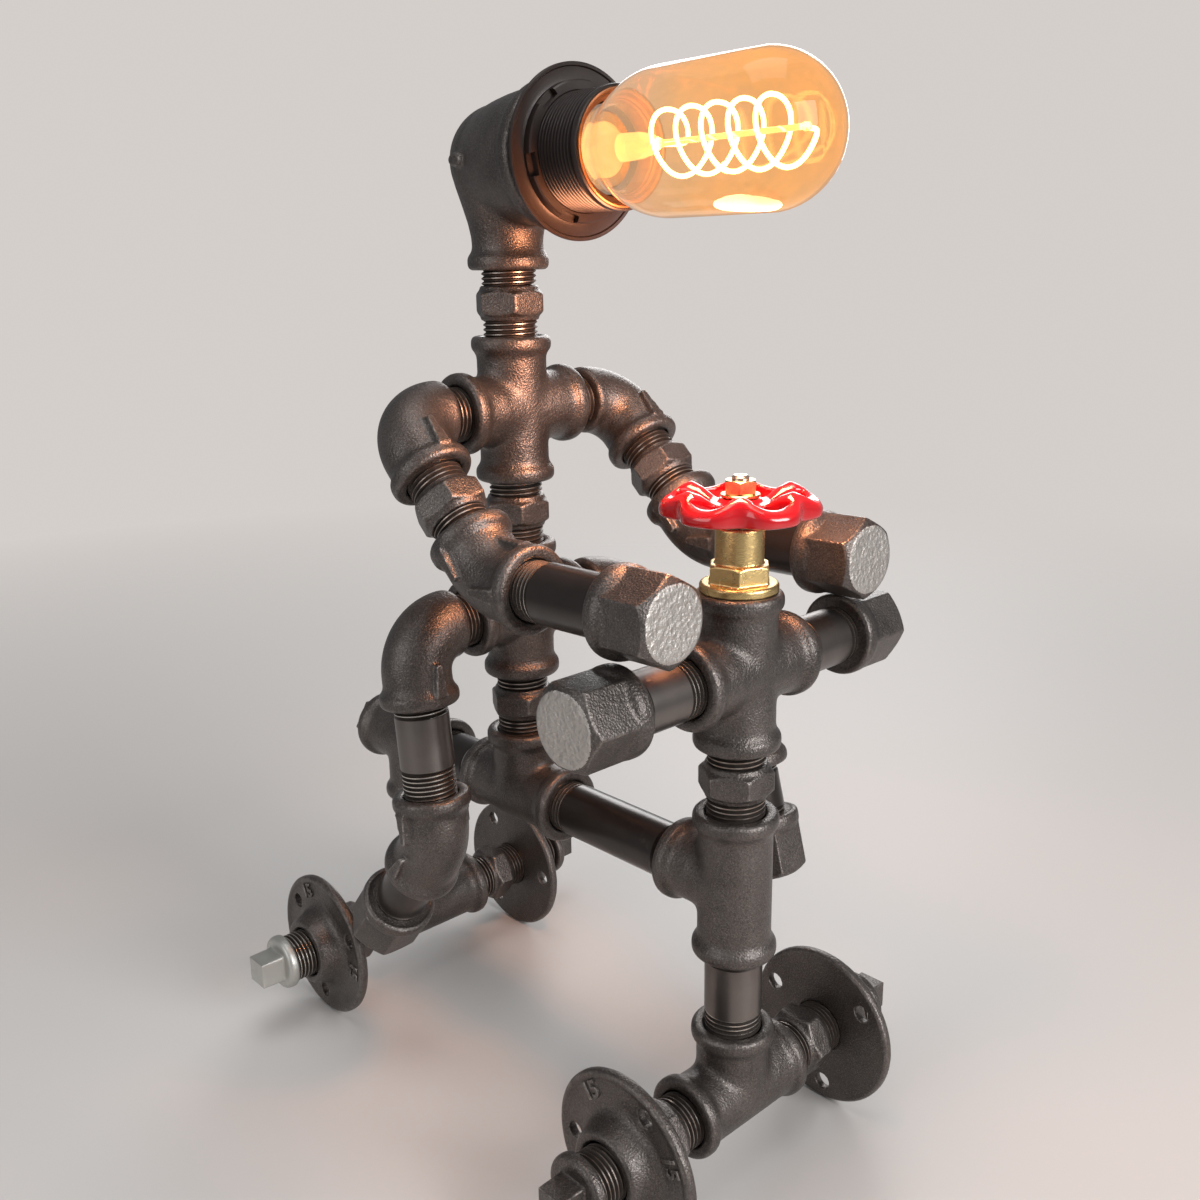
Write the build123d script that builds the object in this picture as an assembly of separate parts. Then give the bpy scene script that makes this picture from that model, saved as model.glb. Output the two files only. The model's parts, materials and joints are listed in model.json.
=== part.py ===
"""Table lamp made of half-inch malleable pipe fittings, in millimetres.

A seated rider is screwed together from beaded tees, crosses, elbows, nipples and
caps on a frame with four floor-flange wheels. The head is a reducing elbow with a
lampholder and a tubular bulb, and a valve handwheel on the handlebar turns the
dimmer. The rider faces -Y, its right side is -X and +Z is up. The origin is on the
table, at the centre of the lamp's bounding box. Threads are plain cylinders here:
a socket is bored to thread_mean_d and a spigot is thread_clearance smaller all round.
"""
import os
from math import asin, atan2, cos, degrees, hypot, radians, sin, tan

from build123d import *

# ---------------------------------------------------------------- driving dimensions
# Pipe and thread
pipe_d = 21.3                 # outside of the pipe nipples
pipe_bore_d = 16.0            # bore of nipples and waterway of the fittings
thread_mean_d = 20.0          # bore of every half-inch socket
thread_clearance = 0.08       # radial, spigot in socket
thread_engaged = 10.0         # length of spigot inside a socket
socket_depth = 12.5           # depth of the wide bore behind a port's face

# Beaded malleable fittings
centre_to_face = 28.0         # tees, crosses and 90 degree elbows
face_45 = 21.0                # centre to face of the 45 degree elbows
body_d = 27.0                 # outside of a fitting between its beads
bead_d = 31.0                 # outside of the bead round a port
bead_width = 5.5
bead_edge = 1.3               # chamfer on the rim of a bead
branch_step = 0.4             # a branch's radii are this much less than the run's
crotch_fillet = 4.5           # where a branch leaves the run
mouth_chamfer = 0.8           # at the entrance of a socket
elbow_bend_r = 16.5           # centre-line radius of the 90 degree elbows
elbow_45_bend_r = 24.0        # centre-line radius of the 45 degree elbows
rib_thickness = 3.0           # cast rib beside the bead of an elbow
rib_length = 12.0
rib_height = 1.6

# Street elbow: a 90 degree elbow with one male end
street_gap = 25.5             # elbow centre to the face that its spigot enters
street_thread_shown = 6.5     # thread in view between body and face

# Hex nipple
hex_gap = 24.5                # between the two faces that it joins
hex_flats = 24.0
hex_length = 9.0
wheel_nipple_gap = 26.0       # between an axle tee and its wheel
nipple_thread_shown = 5.0     # thread in view at each end of a pipe nipple

# Hex cap
cap_length = 25.0
cap_flats = 26.5
cap_collar_d = 31.0
cap_collar_width = 5.0
cap_edge = 2.2                # chamfer round the closed end
cap_taper = 2.0               # from collar to hexagon
cap_mouth_d = 24.0            # plain recess before a cap's thread
cap_mouth_depth = 2.0

# Lengths of pipe in view between two faces
column_gap = 30.0
rail_gap = 61.0
rear_rail_gap = 25.0
handlebar_gap = 27.5
right_hand_gap = 38.5
left_hand_gap = 33.0
thigh_gap = 36.0
right_shin_gap = 25.0
left_shin_gap = 20.0

# Pose of the limbs, degrees from straight down towards the front
hand_rest_gap = 0.3           # hand cap to handlebar cap, where the arms rest
right_leg_swing = 6.0
left_leg_swing = 60.0
head_turn = -3.5              # towards the rider's right

# Wheels: floor flanges screwed on the axle nipples
wheel_d = 65.0
wheel_plate = 3.6             # thickness where the holes are
wheel_rim_rise = 0.6          # rim above the plate
wheel_rim_width = 2.6
wheel_edge = 1.0              # chamfer on the rim
wheel_height = 13.5
wheel_boss_d = 33.0
wheel_boss_tip_d = 30.0
wheel_boss_sweep = 3.0        # hollow curve from plate to boss
wheel_thread_engaged = 8.0    # length of the axle nipple's spigot in the boss
wheel_hole_d = 6.6
wheel_hole_circle_d = 50.0
wheel_hole_count = 3
front_left_hole_angle = 24.0
front_right_hole_angle = -5.0
rear_left_hole_angle = 58.0
rear_right_hole_angle = 35.0
plug_thread_shown = 8.5
plug_engaged = 5.0
plug_collar_d = 26.0
plug_collar_width = 5.0
plug_edge = 1.4
plug_square = 12.0
plug_square_length = 10.5

# Head: reducing elbow, lampholder and bulb
head_drop = 39.0              # centre to the face of the small port
head_neck_length = 9.0        # straight part behind the small port's bead
head_wall = 4.0
head_reach = 37.0             # centre to the face of the large port
head_ball_d = 41.0
head_arm_d = 47.0
head_bead_d = 52.0
head_bead_width = 6.5
head_socket_d = 40.4
head_socket_depth = 19.0
head_pip_d = 6.5
head_pip_height = 2.5
holder_d = 40.0               # lampholder shell, over its outside thread
holder_wall = 2.6
holder_clearance = 0.1        # between core and shell, and screw shell and core
holder_mouth = 59.5           # head centre to the mouth of the lampholder
holder_length = 38.0
shade_ring_d = 58.8
shade_ring_width = 4.2        # over the dished disc
shade_ring_rim = 1.6          # thickness of the disc at its rim
shade_nut_d = 47.0            # notched nut in front of the disc
shade_nut_width = 2.6
shade_notches = 6
shade_notch_width = 6.0
shade_notch_depth = 1.5
shade_ring_place = 40.5       # head centre to the back of the shade ring
shade_ring_bore_gap = 0.08
core_length = 26.0
screw_shell_d = 28.4
screw_shell_wall = 0.6
screw_shell_length = 19.0
contact_d = 7.0
contact_height = 3.0
bulb_cap_d = 26.6
bulb_cap_length = 24.0
bulb_cap_cone = 4.5           # the insulated end, in depth and radius
bulb_cap_lead = 1.5           # from the cone to the cap's full width
bulb_d = 45.0
bulb_neck_d = 29.0
bulb_shoulder = 20.4          # length over which the neck widens
bulb_tip = 156.0              # head centre to the tip of the glass
glass_wall = 1.0
bulb_mount_d = 11.0
bulb_mount_length = 30.0
bulb_mount_foot = 8.0         # length of the flared foot
bulb_mount_flare = 3.0        # radius that the foot adds
bulb_mount_tip = 3.0          # length of the narrowed tip
bulb_mount_taper = 1.5
filament_coil_d = 22.0
filament_wire_d = 1.2
filament_length = 58.0
filament_margin = 2.0         # rod in view beyond each end of the spiral
filament_turns = 5
filament_spans = 8            # straight spans in one turn
support_rod_d = 2.0

# Valve: bonnet, dimmer and handwheel
bonnet_disc_d = 27.0
bonnet_disc_height = 3.3
bonnet_flats = 19.5
bonnet_hex_height = 6.5
bonnet_tube_d = 16.6
bonnet_tube_height = 12.5
bonnet_cup_d = 12.6
bonnet_cup_depth = 5.0
stem_d = 6.0
stem_clearance = 0.06
dimmer_d = 15.0
dimmer_height = 16.0
handwheel_d = 54.0
handwheel_turn = -19.6        # rest angle of the first spoke
handwheel_lobes = 6
handwheel_lobe_depth = 3.6
handwheel_rim_height = 8.0
handwheel_crown_width = 3.2   # slope on top of the rim
handwheel_crown_drop = 2.6
handwheel_wall = 3.0
handwheel_hub_d = 15.0
handwheel_lift = 1.4          # gap between bonnet and handwheel hub
handwheel_hub_height = 8.5
handwheel_window_in = 9.0     # radius where a window starts
handwheel_window_out = 18.5
handwheel_spoke = 1.2          # web left between two windows
handwheel_hump_d = 6.0        # rounded spoke that arches over the web
handwheel_hump_rise = 1.8
washer_d = 13.5
washer_height = 1.0
nut_flats = 10.0
nut_height = 4.6
stem_above_nut = 1.6

# Wiring and inlet
flex_d = 5.0
flex_bend_r = 6.5
splice_size = 9.0
gland_bore_d = 7.4
gland_flats = 22.0
gland_hex_height = 4.0
gland_nose_d = 14.0
gland_nose_height = 5.0
gland_grip_length = 12.0

# ---------------------------------------------------------------- values worked out
pipe_r = pipe_d / 2
bore_r = pipe_bore_d / 2
socket_r = thread_mean_d / 2
spigot_r = socket_r - thread_clearance
body_r = body_d / 2
bead_r = bead_d / 2
axle_z = wheel_d / 2
rail_z = axle_z + 2 * centre_to_face + column_gap
floor_to_hip = rail_z + 2 * centre_to_face + hex_gap
floor_to_chest = floor_to_hip + 2 * centre_to_face + hex_gap
neck_base_z = floor_to_chest + centre_to_face
head_z = neck_base_z + hex_gap + head_drop
column_y = -(2 * centre_to_face + rail_gap)
rear_y = 2 * centre_to_face + rear_rail_gap
bar_z = floor_to_hip
upper_arm = centre_to_face + hex_gap + face_45
bar_reach = hypot(column_y, floor_to_chest - bar_z)
bar_angle = degrees(atan2(-column_y, floor_to_chest - bar_z))
hand_offset = upper_arm * sin(radians(45)) + cap_collar_d + hand_rest_gap
arm_swing = bar_angle + degrees(asin(hand_offset / bar_reach)) - 45
bonnet_z = bar_z + centre_to_face
handwheel_z = bonnet_z + bonnet_disc_height + bonnet_hex_height + bonnet_tube_height + handwheel_lift
wheel_x = centre_to_face + wheel_nipple_gap

RIGHT = Vector(-1, 0, 0)
LEFT = Vector(1, 0, 0)
FRONT = Vector(0, -1, 0)
BACK = Vector(0, 1, 0)
UP = Vector(0, 0, 1)
DOWN = Vector(0, 0, -1)


# ---------------------------------------------------------------- small helpers
def at(origin, z_dir, x_dir=None):
    """Location that carries local +Z along z_dir."""
    z_dir = Vector(*z_dir)
    if x_dir is None:
        x_dir = LEFT if abs(z_dir.X) < 0.9 else BACK
    return Plane(origin=origin, x_dir=x_dir, z_dir=z_dir).location


def turned(points):
    """Solid of revolution about Z from (radius, height) points."""
    face = make_face(Polyline(*points, close=True))
    return revolve(Plane.XZ * face, Axis.Z)


def rod(radius, start, end):
    """Cylinder about Z between two heights."""
    return Pos(0, 0, (start + end) / 2) * Cylinder(radius, end - start)


def hex_bar(flats, start, end):
    """Hexagonal bar about Z between two heights."""
    outline = RegularPolygon(flats / 2, 6, major_radius=False)
    return Pos(0, 0, start) * extrude(outline, end - start)


def swing(degrees):
    """Direction that lies this far from straight down, towards the front."""
    angle = radians(degrees)
    return Vector(0, -sin(angle), -cos(angle))


# ---------------------------------------------------------------- fittings
def port_outline(length, radius):
    """Points along the outside of a beaded port, from its body to the axis at its face."""
    return [
        (radius, length - bead_width - (bead_r - radius)),
        (bead_r, length - bead_width),
        (bead_r, length - bead_edge),
        (bead_r - bead_edge, length),
        (0, length),
    ]


def socket_outline(length, radius, depth=socket_depth):
    """Points along a port's waterway and socket, to the axis at its face."""
    step = length - depth
    return [
        (radius, step),
        (socket_r, step),
        (socket_r, length - mouth_chamfer),
        (socket_r + mouth_chamfer, length),
        (0, length),
    ]


def one_way(outline, start=0.0):
    """Turned port along +Z, from a start height."""
    return turned([(0, start), (outline[0][0], start)] + outline)


def both_ways(outline):
    """Turned run with the same port at both ends."""
    return turned([(radius, -height) for radius, height in reversed(outline)] + outline)


def branched_fitting(centre, run_way, branches):
    """Tee or cross: a straight run, and a branch on one side or on both."""
    run_end = at(centre, run_way)
    branch_end = at(centre, branches[0])
    turned_branch = both_ways if len(branches) == 2 else one_way
    outside = run_end * both_ways(port_outline(centre_to_face, body_r))
    outside += branch_end * turned_branch(port_outline(centre_to_face, body_r - branch_step))
    crotches = outside.edges().filter_by(GeomType.BSPLINE)
    outside = outside.fillet(min(crotch_fillet, centre_to_face - bead_width - bead_r), crotches)
    inside = run_end * both_ways(socket_outline(centre_to_face, bore_r))
    inside += branch_end * turned_branch(socket_outline(centre_to_face, bore_r - branch_step))
    return outside - inside


def bend(radius, bend_r, angle):
    """Torus segment that turns from +Z towards +X about the fitting's centre."""
    reach = bend_r * tan(radians(angle) / 2)
    section = Pos(0, 0, -reach) * Circle(radius)
    return revolve(section, Axis((bend_r, 0, -reach), (0, 1, 0)), angle)


def elbow_ribs(face, angle, bend_r):
    """Cast rib on each side of the elbow, beside the bead of its outlet."""
    end = face - bead_width
    start = max(end - rib_length, bend_r * tan(radians(angle) / 2))
    rib = Pos(0, 0, (start + end) / 2) * Box(rib_thickness, 2 * (body_r + rib_height), end - start)
    return rib & rod(body_r + rib_height, start, end)


def elbow(centre, travel, outlet, face, bend_r, angle):
    """Elbow with two female ports. The way through it goes from travel to outlet."""
    side = outlet - travel * outlet.dot(travel)
    place = at(centre, travel, side)
    reach = bend_r * tan(radians(angle) / 2)
    turn = Rot(0, angle, 0)
    outside = bend(body_r, bend_r, angle)
    port = one_way(port_outline(face, body_r), reach)
    outside += Rot(180, 0, 0) * port + turn * port
    outside += turn * elbow_ribs(face, angle, bend_r)
    inside = bend(bore_r, bend_r, angle)
    depth = min(socket_depth, face - reach - 0.5)
    socket = one_way(socket_outline(face, bore_r, depth), reach)
    inside += Rot(180, 0, 0) * socket + turn * socket
    return place * (outside - inside)


def street_elbow(centre, travel, outlet):
    """90 degree elbow whose inlet is a male spigot that comes from the travel's back."""
    place = at(centre, travel, outlet)
    turn = Rot(0, 90, 0)
    shoulder = street_gap - street_thread_shown
    outside = bend(body_r, elbow_bend_r, 90)
    outside += turn * one_way(port_outline(centre_to_face, body_r), elbow_bend_r)
    outside += turn * elbow_ribs(centre_to_face, 90, elbow_bend_r)
    outside += Rot(180, 0, 0) * turned([
        (0, elbow_bend_r),
        (body_r, elbow_bend_r),
        (spigot_r + 1.0, shoulder),
        (spigot_r, shoulder),
        (spigot_r, street_gap + thread_engaged),
        (0, street_gap + thread_engaged),
    ])
    inside = bend(bore_r, elbow_bend_r, 90)
    depth = centre_to_face - elbow_bend_r - 0.5
    inside += turn * one_way(socket_outline(centre_to_face, bore_r, depth), elbow_bend_r)
    inside += Rot(180, 0, 0) * rod(bore_r, elbow_bend_r, street_gap + thread_engaged)
    return place * (outside - inside)


def hex_nipple(face, way, gap, far_engaged=thread_engaged):
    """Hex nipple from a face to the next one, a gap away."""
    middle = gap / 2
    body = rod(spigot_r, -thread_engaged, gap + far_engaged)
    body += hex_bar(hex_flats, middle - hex_length / 2, middle + hex_length / 2)
    body -= rod(bore_r, -thread_engaged, gap + far_engaged)
    return at(face, way) * body


def pipe_nipple(face, way, gap):
    """Pipe nipple from a face to the next one, a gap away."""
    body = rod(spigot_r, -thread_engaged, gap + thread_engaged)
    body += rod(pipe_r, nipple_thread_shown, gap - nipple_thread_shown)
    body -= rod(bore_r, -thread_engaged, gap + thread_engaged)
    return at(face, way) * body


def hex_cap(face, way, x_dir=None):
    """Hex cap whose open face meets a pipe and whose closed end lies along way."""
    collar = turned([
        (0, 0),
        (cap_collar_d / 2 - bead_edge, 0),
        (cap_collar_d / 2, bead_edge),
        (cap_collar_d / 2, cap_collar_width),
        (cap_flats / 2, cap_collar_width + cap_taper),
        (0, cap_collar_width + cap_taper),
    ])
    head = hex_bar(cap_flats, cap_collar_width, cap_length)
    corner_r = cap_flats / 2 / cos(radians(30))
    head &= turned([
        (0, 0),
        (corner_r, 0),
        (corner_r, cap_length - cap_edge),
        (corner_r - 1.6 * cap_edge, cap_length),
        (0, cap_length),
    ])
    body = collar + head - rod(socket_r, 0, socket_depth) - rod(cap_mouth_d / 2, 0, cap_mouth_depth)
    return at(face, way, x_dir) * body


# ---------------------------------------------------------------- wheels
def wheel(side, hub_y, hole_angle):
    """Floor flange: flat face inwards, boss outwards, screw holes on a circle."""
    rim_r = wheel_d / 2
    boss_r = wheel_boss_d / 2
    tip_r = wheel_boss_tip_d / 2
    rim_top = wheel_plate + wheel_rim_rise
    section = make_face([
        Polyline(
            (boss_r + wheel_boss_sweep, wheel_plate),
            (rim_r - wheel_rim_width - wheel_rim_rise, wheel_plate),
            (rim_r - wheel_rim_width, rim_top),
            (rim_r - wheel_edge, rim_top),
            (rim_r, rim_top - wheel_edge),
            (rim_r, 0),
            (0, 0),
            (0, wheel_height),
            (tip_r - bead_edge, wheel_height),
            (tip_r, wheel_height - bead_edge),
            (boss_r, wheel_plate + wheel_boss_sweep)),
        TangentArc(
            (boss_r + wheel_boss_sweep, wheel_plate),
            (boss_r, wheel_plate + wheel_boss_sweep),
            tangent=(-1, 0)),
    ])
    body = revolve(Plane.XZ * section, Axis.Z)
    body -= rod(socket_r, 0, wheel_height)
    for index in range(wheel_hole_count):
        angle = radians(hole_angle + 360 * index / wheel_hole_count)
        reach = wheel_hole_circle_d / 2
        body -= Pos(side.X * reach * cos(angle), reach * sin(angle), 0) * rod(
            wheel_hole_d / 2, -1, wheel_plate + 2)
    centre = Vector(side.X * wheel_x, hub_y, axle_z)
    return Plane(origin=centre, x_dir=(0, side.X, 0), z_dir=side).location * body


def wheel_plug(side, hub_y):
    """Square-head plug in the outer end of a wheel's boss."""
    collar = plug_thread_shown + plug_collar_width
    body = rod(spigot_r, -plug_engaged, plug_thread_shown)
    body += turned([
        (0, plug_thread_shown),
        (plug_collar_d / 2, plug_thread_shown),
        (plug_collar_d / 2, collar - plug_edge),
        (plug_collar_d / 2 - plug_edge, collar),
        (0, collar),
    ])
    body += Pos(0, 0, collar + plug_square_length / 2) * Box(
        plug_square, plug_square, plug_square_length)
    return at((side.X * (wheel_x + wheel_height), hub_y, axle_z), side) * body


# ---------------------------------------------------------------- limbs
def arm(side, hand_gap):
    """Pieces of one arm, shoulder to hand, by the last words of their names."""
    shoulder = Vector(0, 0, floor_to_chest) + side * (centre_to_face + street_gap)
    upper = swing(arm_swing)
    fore = swing(arm_swing + 45)
    elbow_centre = shoulder + upper * upper_arm
    wrist = elbow_centre + fore * face_45
    return {
        "shoulder_elbow": street_elbow(shoulder, side, upper),
        "arm_nipple": hex_nipple(shoulder + upper * centre_to_face, upper, hex_gap),
        "forearm_elbow": elbow(elbow_centre, upper, fore, face_45, elbow_45_bend_r, 45),
        "hand_pipe": pipe_nipple(wrist, fore, hand_gap),
        "hand_cap": hex_cap(wrist + fore * hand_gap, fore, UP),
    }


def leg(side, leg_swing, knee_turn, shin_gap):
    """Pieces of one leg, hip to foot. knee_turn is 45 forwards or -45 backwards."""
    hip = Vector(0, 0, floor_to_hip) + side * (centre_to_face + street_gap)
    thigh = swing(leg_swing)
    shin = swing(leg_swing + knee_turn)
    knee = hip + thigh * (centre_to_face + thigh_gap + face_45)
    ankle = knee + shin * face_45
    return {
        "hip_elbow": street_elbow(hip, side, thigh),
        "thigh_pipe": pipe_nipple(hip + thigh * centre_to_face, thigh, thigh_gap),
        "knee_elbow": elbow(knee, thigh, shin, face_45, elbow_45_bend_r, 45),
        "shin_pipe": pipe_nipple(ankle, shin, shin_gap),
        "foot_cap": hex_cap(ankle + shin * shin_gap, shin, LEFT),
    }


# ---------------------------------------------------------------- head
def head_elbow():
    """Reducing elbow: half-inch port below, large port in front."""
    drop_start = head_ball_d / 2 * 0.6
    small = turned([
        (0, 0),
        (head_ball_d / 2 * 0.95, 0),
        (head_ball_d / 2 * 0.86, drop_start),
        (body_r, head_drop - bead_width - head_neck_length),
        (body_r, head_drop - bead_width - (bead_r - body_r)),
        (bead_r, head_drop - bead_width),
        (bead_r, head_drop - bead_edge),
        (bead_r - bead_edge, head_drop),
        (0, head_drop),
    ])
    flare = (head_bead_d - head_arm_d) / 2
    large = turned([
        (0, 0),
        (head_ball_d / 2, 0),
        (head_arm_d / 2, head_reach * 0.5),
        (head_arm_d / 2, head_reach - head_bead_width - flare),
        (head_bead_d / 2, head_reach - head_bead_width),
        (head_bead_d / 2, head_reach - bead_edge),
        (head_bead_d / 2 - bead_edge, head_reach),
        (0, head_reach),
    ])
    wide_r = head_socket_d / 2
    large_bore = turned([
        (0, 0),
        (head_ball_d / 2 - head_wall, 0),
        (head_ball_d / 2 - head_wall, head_reach - head_socket_depth),
        (wide_r, head_reach - head_socket_depth),
        (wide_r, head_reach),
        (0, head_reach),
    ])
    body = Sphere(head_ball_d / 2) + Rot(180, 0, 0) * small + Rot(90, 0, 0) * large
    body += Rot(0, -90, 0) * rod(head_pip_d / 2, 0, head_ball_d / 2 + head_pip_height)
    body -= Sphere(head_ball_d / 2 - head_wall)
    body -= Rot(90, 0, 0) * large_bore
    body -= Rot(180, 0, 0) * one_way(socket_outline(head_drop, bore_r))
    return body


def lampholder_shell():
    """Outer shell with its floor at the back and its mouth in front."""
    back = holder_mouth - holder_length
    inner_r = holder_d / 2 - holder_wall
    body = rod(holder_d / 2, back, holder_mouth)
    body -= rod(inner_r, back + holder_wall, holder_mouth)
    body -= rod(flex_d / 2 + 0.1, back, back + holder_wall)
    return body


def shade_ring():
    """Ring that screws on the shell's outside thread, with a rim towards the back."""
    bore = holder_d / 2 + shade_ring_bore_gap
    rim_r = shade_ring_d / 2
    nut_r = shade_nut_d / 2
    top = shade_ring_width + shade_nut_width
    body = turned([
        (bore, 0),
        (nut_r, 0),
        (rim_r - shade_ring_rim, shade_ring_width - shade_ring_rim),
        (rim_r, shade_ring_width - shade_ring_rim),
        (rim_r, shade_ring_width),
        (nut_r, shade_ring_width - shade_ring_rim / 2),
        (nut_r, top),
        (bore, top),
    ])
    for index in range(shade_notches):
        notch = Pos(nut_r, 0, top) * Box(nut_r - bore, shade_notch_width, 2 * shade_notch_depth)
        body -= Rot(0, 0, 360 * index / shade_notches) * notch
    return Pos(0, 0, shade_ring_place) * body


def lampholder_core():
    """Insulating insert that carries the contacts."""
    back = holder_mouth - holder_length + holder_wall
    outer_r = holder_d / 2 - holder_wall - holder_clearance
    cup_r = screw_shell_d / 2 + holder_clearance
    body = rod(outer_r, back, back + core_length)
    body -= rod(cup_r, back + core_length - screw_shell_length, back + core_length)
    body -= rod(flex_d / 2 + 0.1, back, back + core_length)
    return body


def lampholder_contacts():
    """Brass screw shell and centre contact, two separate solids."""
    back = holder_mouth - holder_length + holder_wall
    floor = back + core_length - screw_shell_length
    outer_r = screw_shell_d / 2
    shell = rod(outer_r, floor, floor + screw_shell_length)
    shell -= rod(outer_r - screw_shell_wall, floor, floor + screw_shell_length)
    contact = rod(contact_d / 2, floor, floor + contact_height)
    return shell, contact


def bulb_start():
    """Head centre to the back of the bulb's cap, on the centre contact."""
    back = holder_mouth - holder_length + holder_wall
    return back + core_length - screw_shell_length + contact_height


def bulb_cap():
    """Edison screw cap with its contact button."""
    start = bulb_start()
    return turned([
        (0, start),
        (contact_d / 2, start),
        (bulb_cap_d / 2 - bulb_cap_cone, start + bulb_cap_cone),
        (bulb_cap_d / 2, start + bulb_cap_cone + bulb_cap_lead),
        (bulb_cap_d / 2, start + bulb_cap_length),
        (0, start + bulb_cap_length),
    ])


def bulb_outline(offset):
    """Face of the bulb's half section, moved inwards by offset."""
    start = bulb_start() + bulb_cap_length
    neck_r = bulb_neck_d / 2 - offset
    wide_r = bulb_d / 2 - offset
    tip = bulb_tip - offset
    shoulder = start + bulb_shoulder
    with BuildSketch(Plane.XZ) as section:
        with BuildLine():
            Line((0, start), (neck_r, start))
            Spline((neck_r, start), (wide_r, shoulder), tangents=((0.55, 1), (0, 1)))
            Line((wide_r, shoulder), (wide_r, tip - wide_r))
            CenterArc((0, tip - wide_r), wide_r, 0, 90)
            Line((0, tip), (0, start))
        make_face()
    return section.sketch


def bulb_glass():
    """Tubular glass envelope."""
    outer = revolve(bulb_outline(0), Axis.Z)
    inner = revolve(bulb_outline(glass_wall), Axis.Z)
    return outer - inner


def bulb_mount():
    """Glass stem that carries the filament's support wires."""
    start = bulb_start() + bulb_cap_length
    body = turned([
        (0, start),
        (bulb_mount_d / 2 + bulb_mount_flare, start),
        (bulb_mount_d / 2, start + bulb_mount_foot),
        (bulb_mount_d / 2 - bulb_mount_taper, start + bulb_mount_length - bulb_mount_tip),
        (bulb_mount_d / 2 - 2 * bulb_mount_taper, start + bulb_mount_length),
        (0, start + bulb_mount_length),
    ])
    reach = start + bulb_mount_length
    body += rod(support_rod_d / 2, reach - 1, reach + filament_length)
    return body


def filament():
    """Spiral wire in straight spans, with a leg to the support rod at each end."""
    start = bulb_start() + bulb_cap_length + bulb_mount_length + filament_margin
    rise = filament_length - 2 * filament_margin
    spans = filament_turns * filament_spans
    points = [(0, 0, start)]
    for index in range(spans + 1):
        angle = radians(360 * index / filament_spans)
        points.append((
            filament_coil_d / 2 * cos(angle),
            filament_coil_d / 2 * sin(angle),
            start + rise * index / spans))
    points.append((0, 0, start + rise))
    route = Polyline(*points)
    section = Plane(origin=route @ 0, z_dir=route % 0) * Circle(filament_wire_d / 2)
    wire = sweep(section, route, transition=Transition.RIGHT)
    return wire - rod(support_rod_d / 2, start - filament_margin, start + rise + filament_margin)


# ---------------------------------------------------------------- switch
def valve_bonnet():
    """Brass bonnet: spigot, disc, hexagon and open tube round the stem."""
    hex_top = bonnet_disc_height + bonnet_hex_height
    top = hex_top + bonnet_tube_height
    body = rod(spigot_r, -thread_engaged, 0)
    body += rod(bonnet_disc_d / 2, 0, bonnet_disc_height)
    body += hex_bar(bonnet_flats, bonnet_disc_height, hex_top)
    body += rod(bonnet_tube_d / 2, hex_top, top)
    body -= rod(bonnet_cup_d / 2, top - bonnet_cup_depth, top)
    body -= rod(stem_d / 2 + stem_clearance, -thread_engaged, top)
    return Pos(0, column_y, bonnet_z) * body


def dimmer_body():
    """Rotary dimmer under the bonnet, with the stem's socket in its top."""
    top = bonnet_z - thread_engaged
    body = rod(dimmer_d / 2, top - dimmer_height, top)
    body -= rod(stem_d / 2 + stem_clearance, top - dimmer_height / 2, top)
    return Pos(0, column_y, 0) * body


def valve_stem():
    """Stem from the dimmer through bonnet, handwheel, washer and nut."""
    bottom = bonnet_z - thread_engaged - dimmer_height / 2 + 0.3
    top = handwheel_z + handwheel_hub_height + washer_height + nut_height + stem_above_nut
    return Pos(0, column_y, 0) * rod(stem_d / 2, bottom, top)


def lobed_disc(radius, start, end):
    """Scalloped disc: a circle with one lobe for each window."""
    lobe_r = radius * sin(radians(180 / handwheel_lobes)) * 0.92
    reach = radius - lobe_r
    outline = Circle(radius - handwheel_lobe_depth)
    for index in range(handwheel_lobes):
        angle = radians(360 * (index + 0.5) / handwheel_lobes)
        outline += Pos(reach * cos(angle), reach * sin(angle)) * Circle(lobe_r)
    return Pos(0, 0, start) * extrude(outline, end - start)


def handwheel():
    """Scalloped cast handwheel: domed web with six windows, rim turned down, hub."""
    rim = handwheel_rim_height
    body = lobed_disc(handwheel_d / 2, 0, rim)
    body -= lobed_disc(handwheel_d / 2 - handwheel_wall, -1, rim - handwheel_wall)
    crown = turned([
        (0, -1),
        (handwheel_d / 2, -1),
        (handwheel_d / 2, rim - handwheel_crown_drop),
        (handwheel_d / 2 - handwheel_crown_width, rim),
        (0, rim),
    ])
    body &= crown
    body += rod(handwheel_hub_d / 2, 0, handwheel_hub_height)
    hump_r = handwheel_hump_d / 2
    hump_in = handwheel_hub_d / 2 + hump_r
    hump_out = handwheel_d / 2 - handwheel_lobe_depth - 2 * hump_r
    hump = Pos(0, 0, hump_in) * Sphere(hump_r) + rod(hump_r, hump_in, hump_out)
    hump += Pos(0, 0, hump_out) * Sphere(hump_r)
    hump_place = Pos(0, 0, rim + handwheel_hump_rise - hump_r) * Rot(0, 90, 0)
    for index in range(handwheel_lobes):
        body += Rot(0, 0, 360 * index / handwheel_lobes) * hump_place * hump
    windows = Part()
    middle = (handwheel_window_in + handwheel_window_out) / 2
    slot_r = (handwheel_window_out - handwheel_window_in) / 2
    for index in range(handwheel_lobes):
        turn = 360 * (index + 0.5) / handwheel_lobes
        cutter = Pos(middle, 0) * Circle(slot_r)
        width = 2 * handwheel_window_in * sin(radians(180 / handwheel_lobes))
        cutter += Pos(handwheel_window_in + slot_r / 2, 0) * Rectangle(slot_r, width - handwheel_spoke)
        windows += Rot(0, 0, turn) * extrude(cutter, 2 * rim)
    body -= windows
    body -= rod(stem_d / 2, -1, handwheel_hub_height + 1)
    return Pos(0, column_y, handwheel_z) * Rot(0, 0, handwheel_turn) * body


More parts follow.
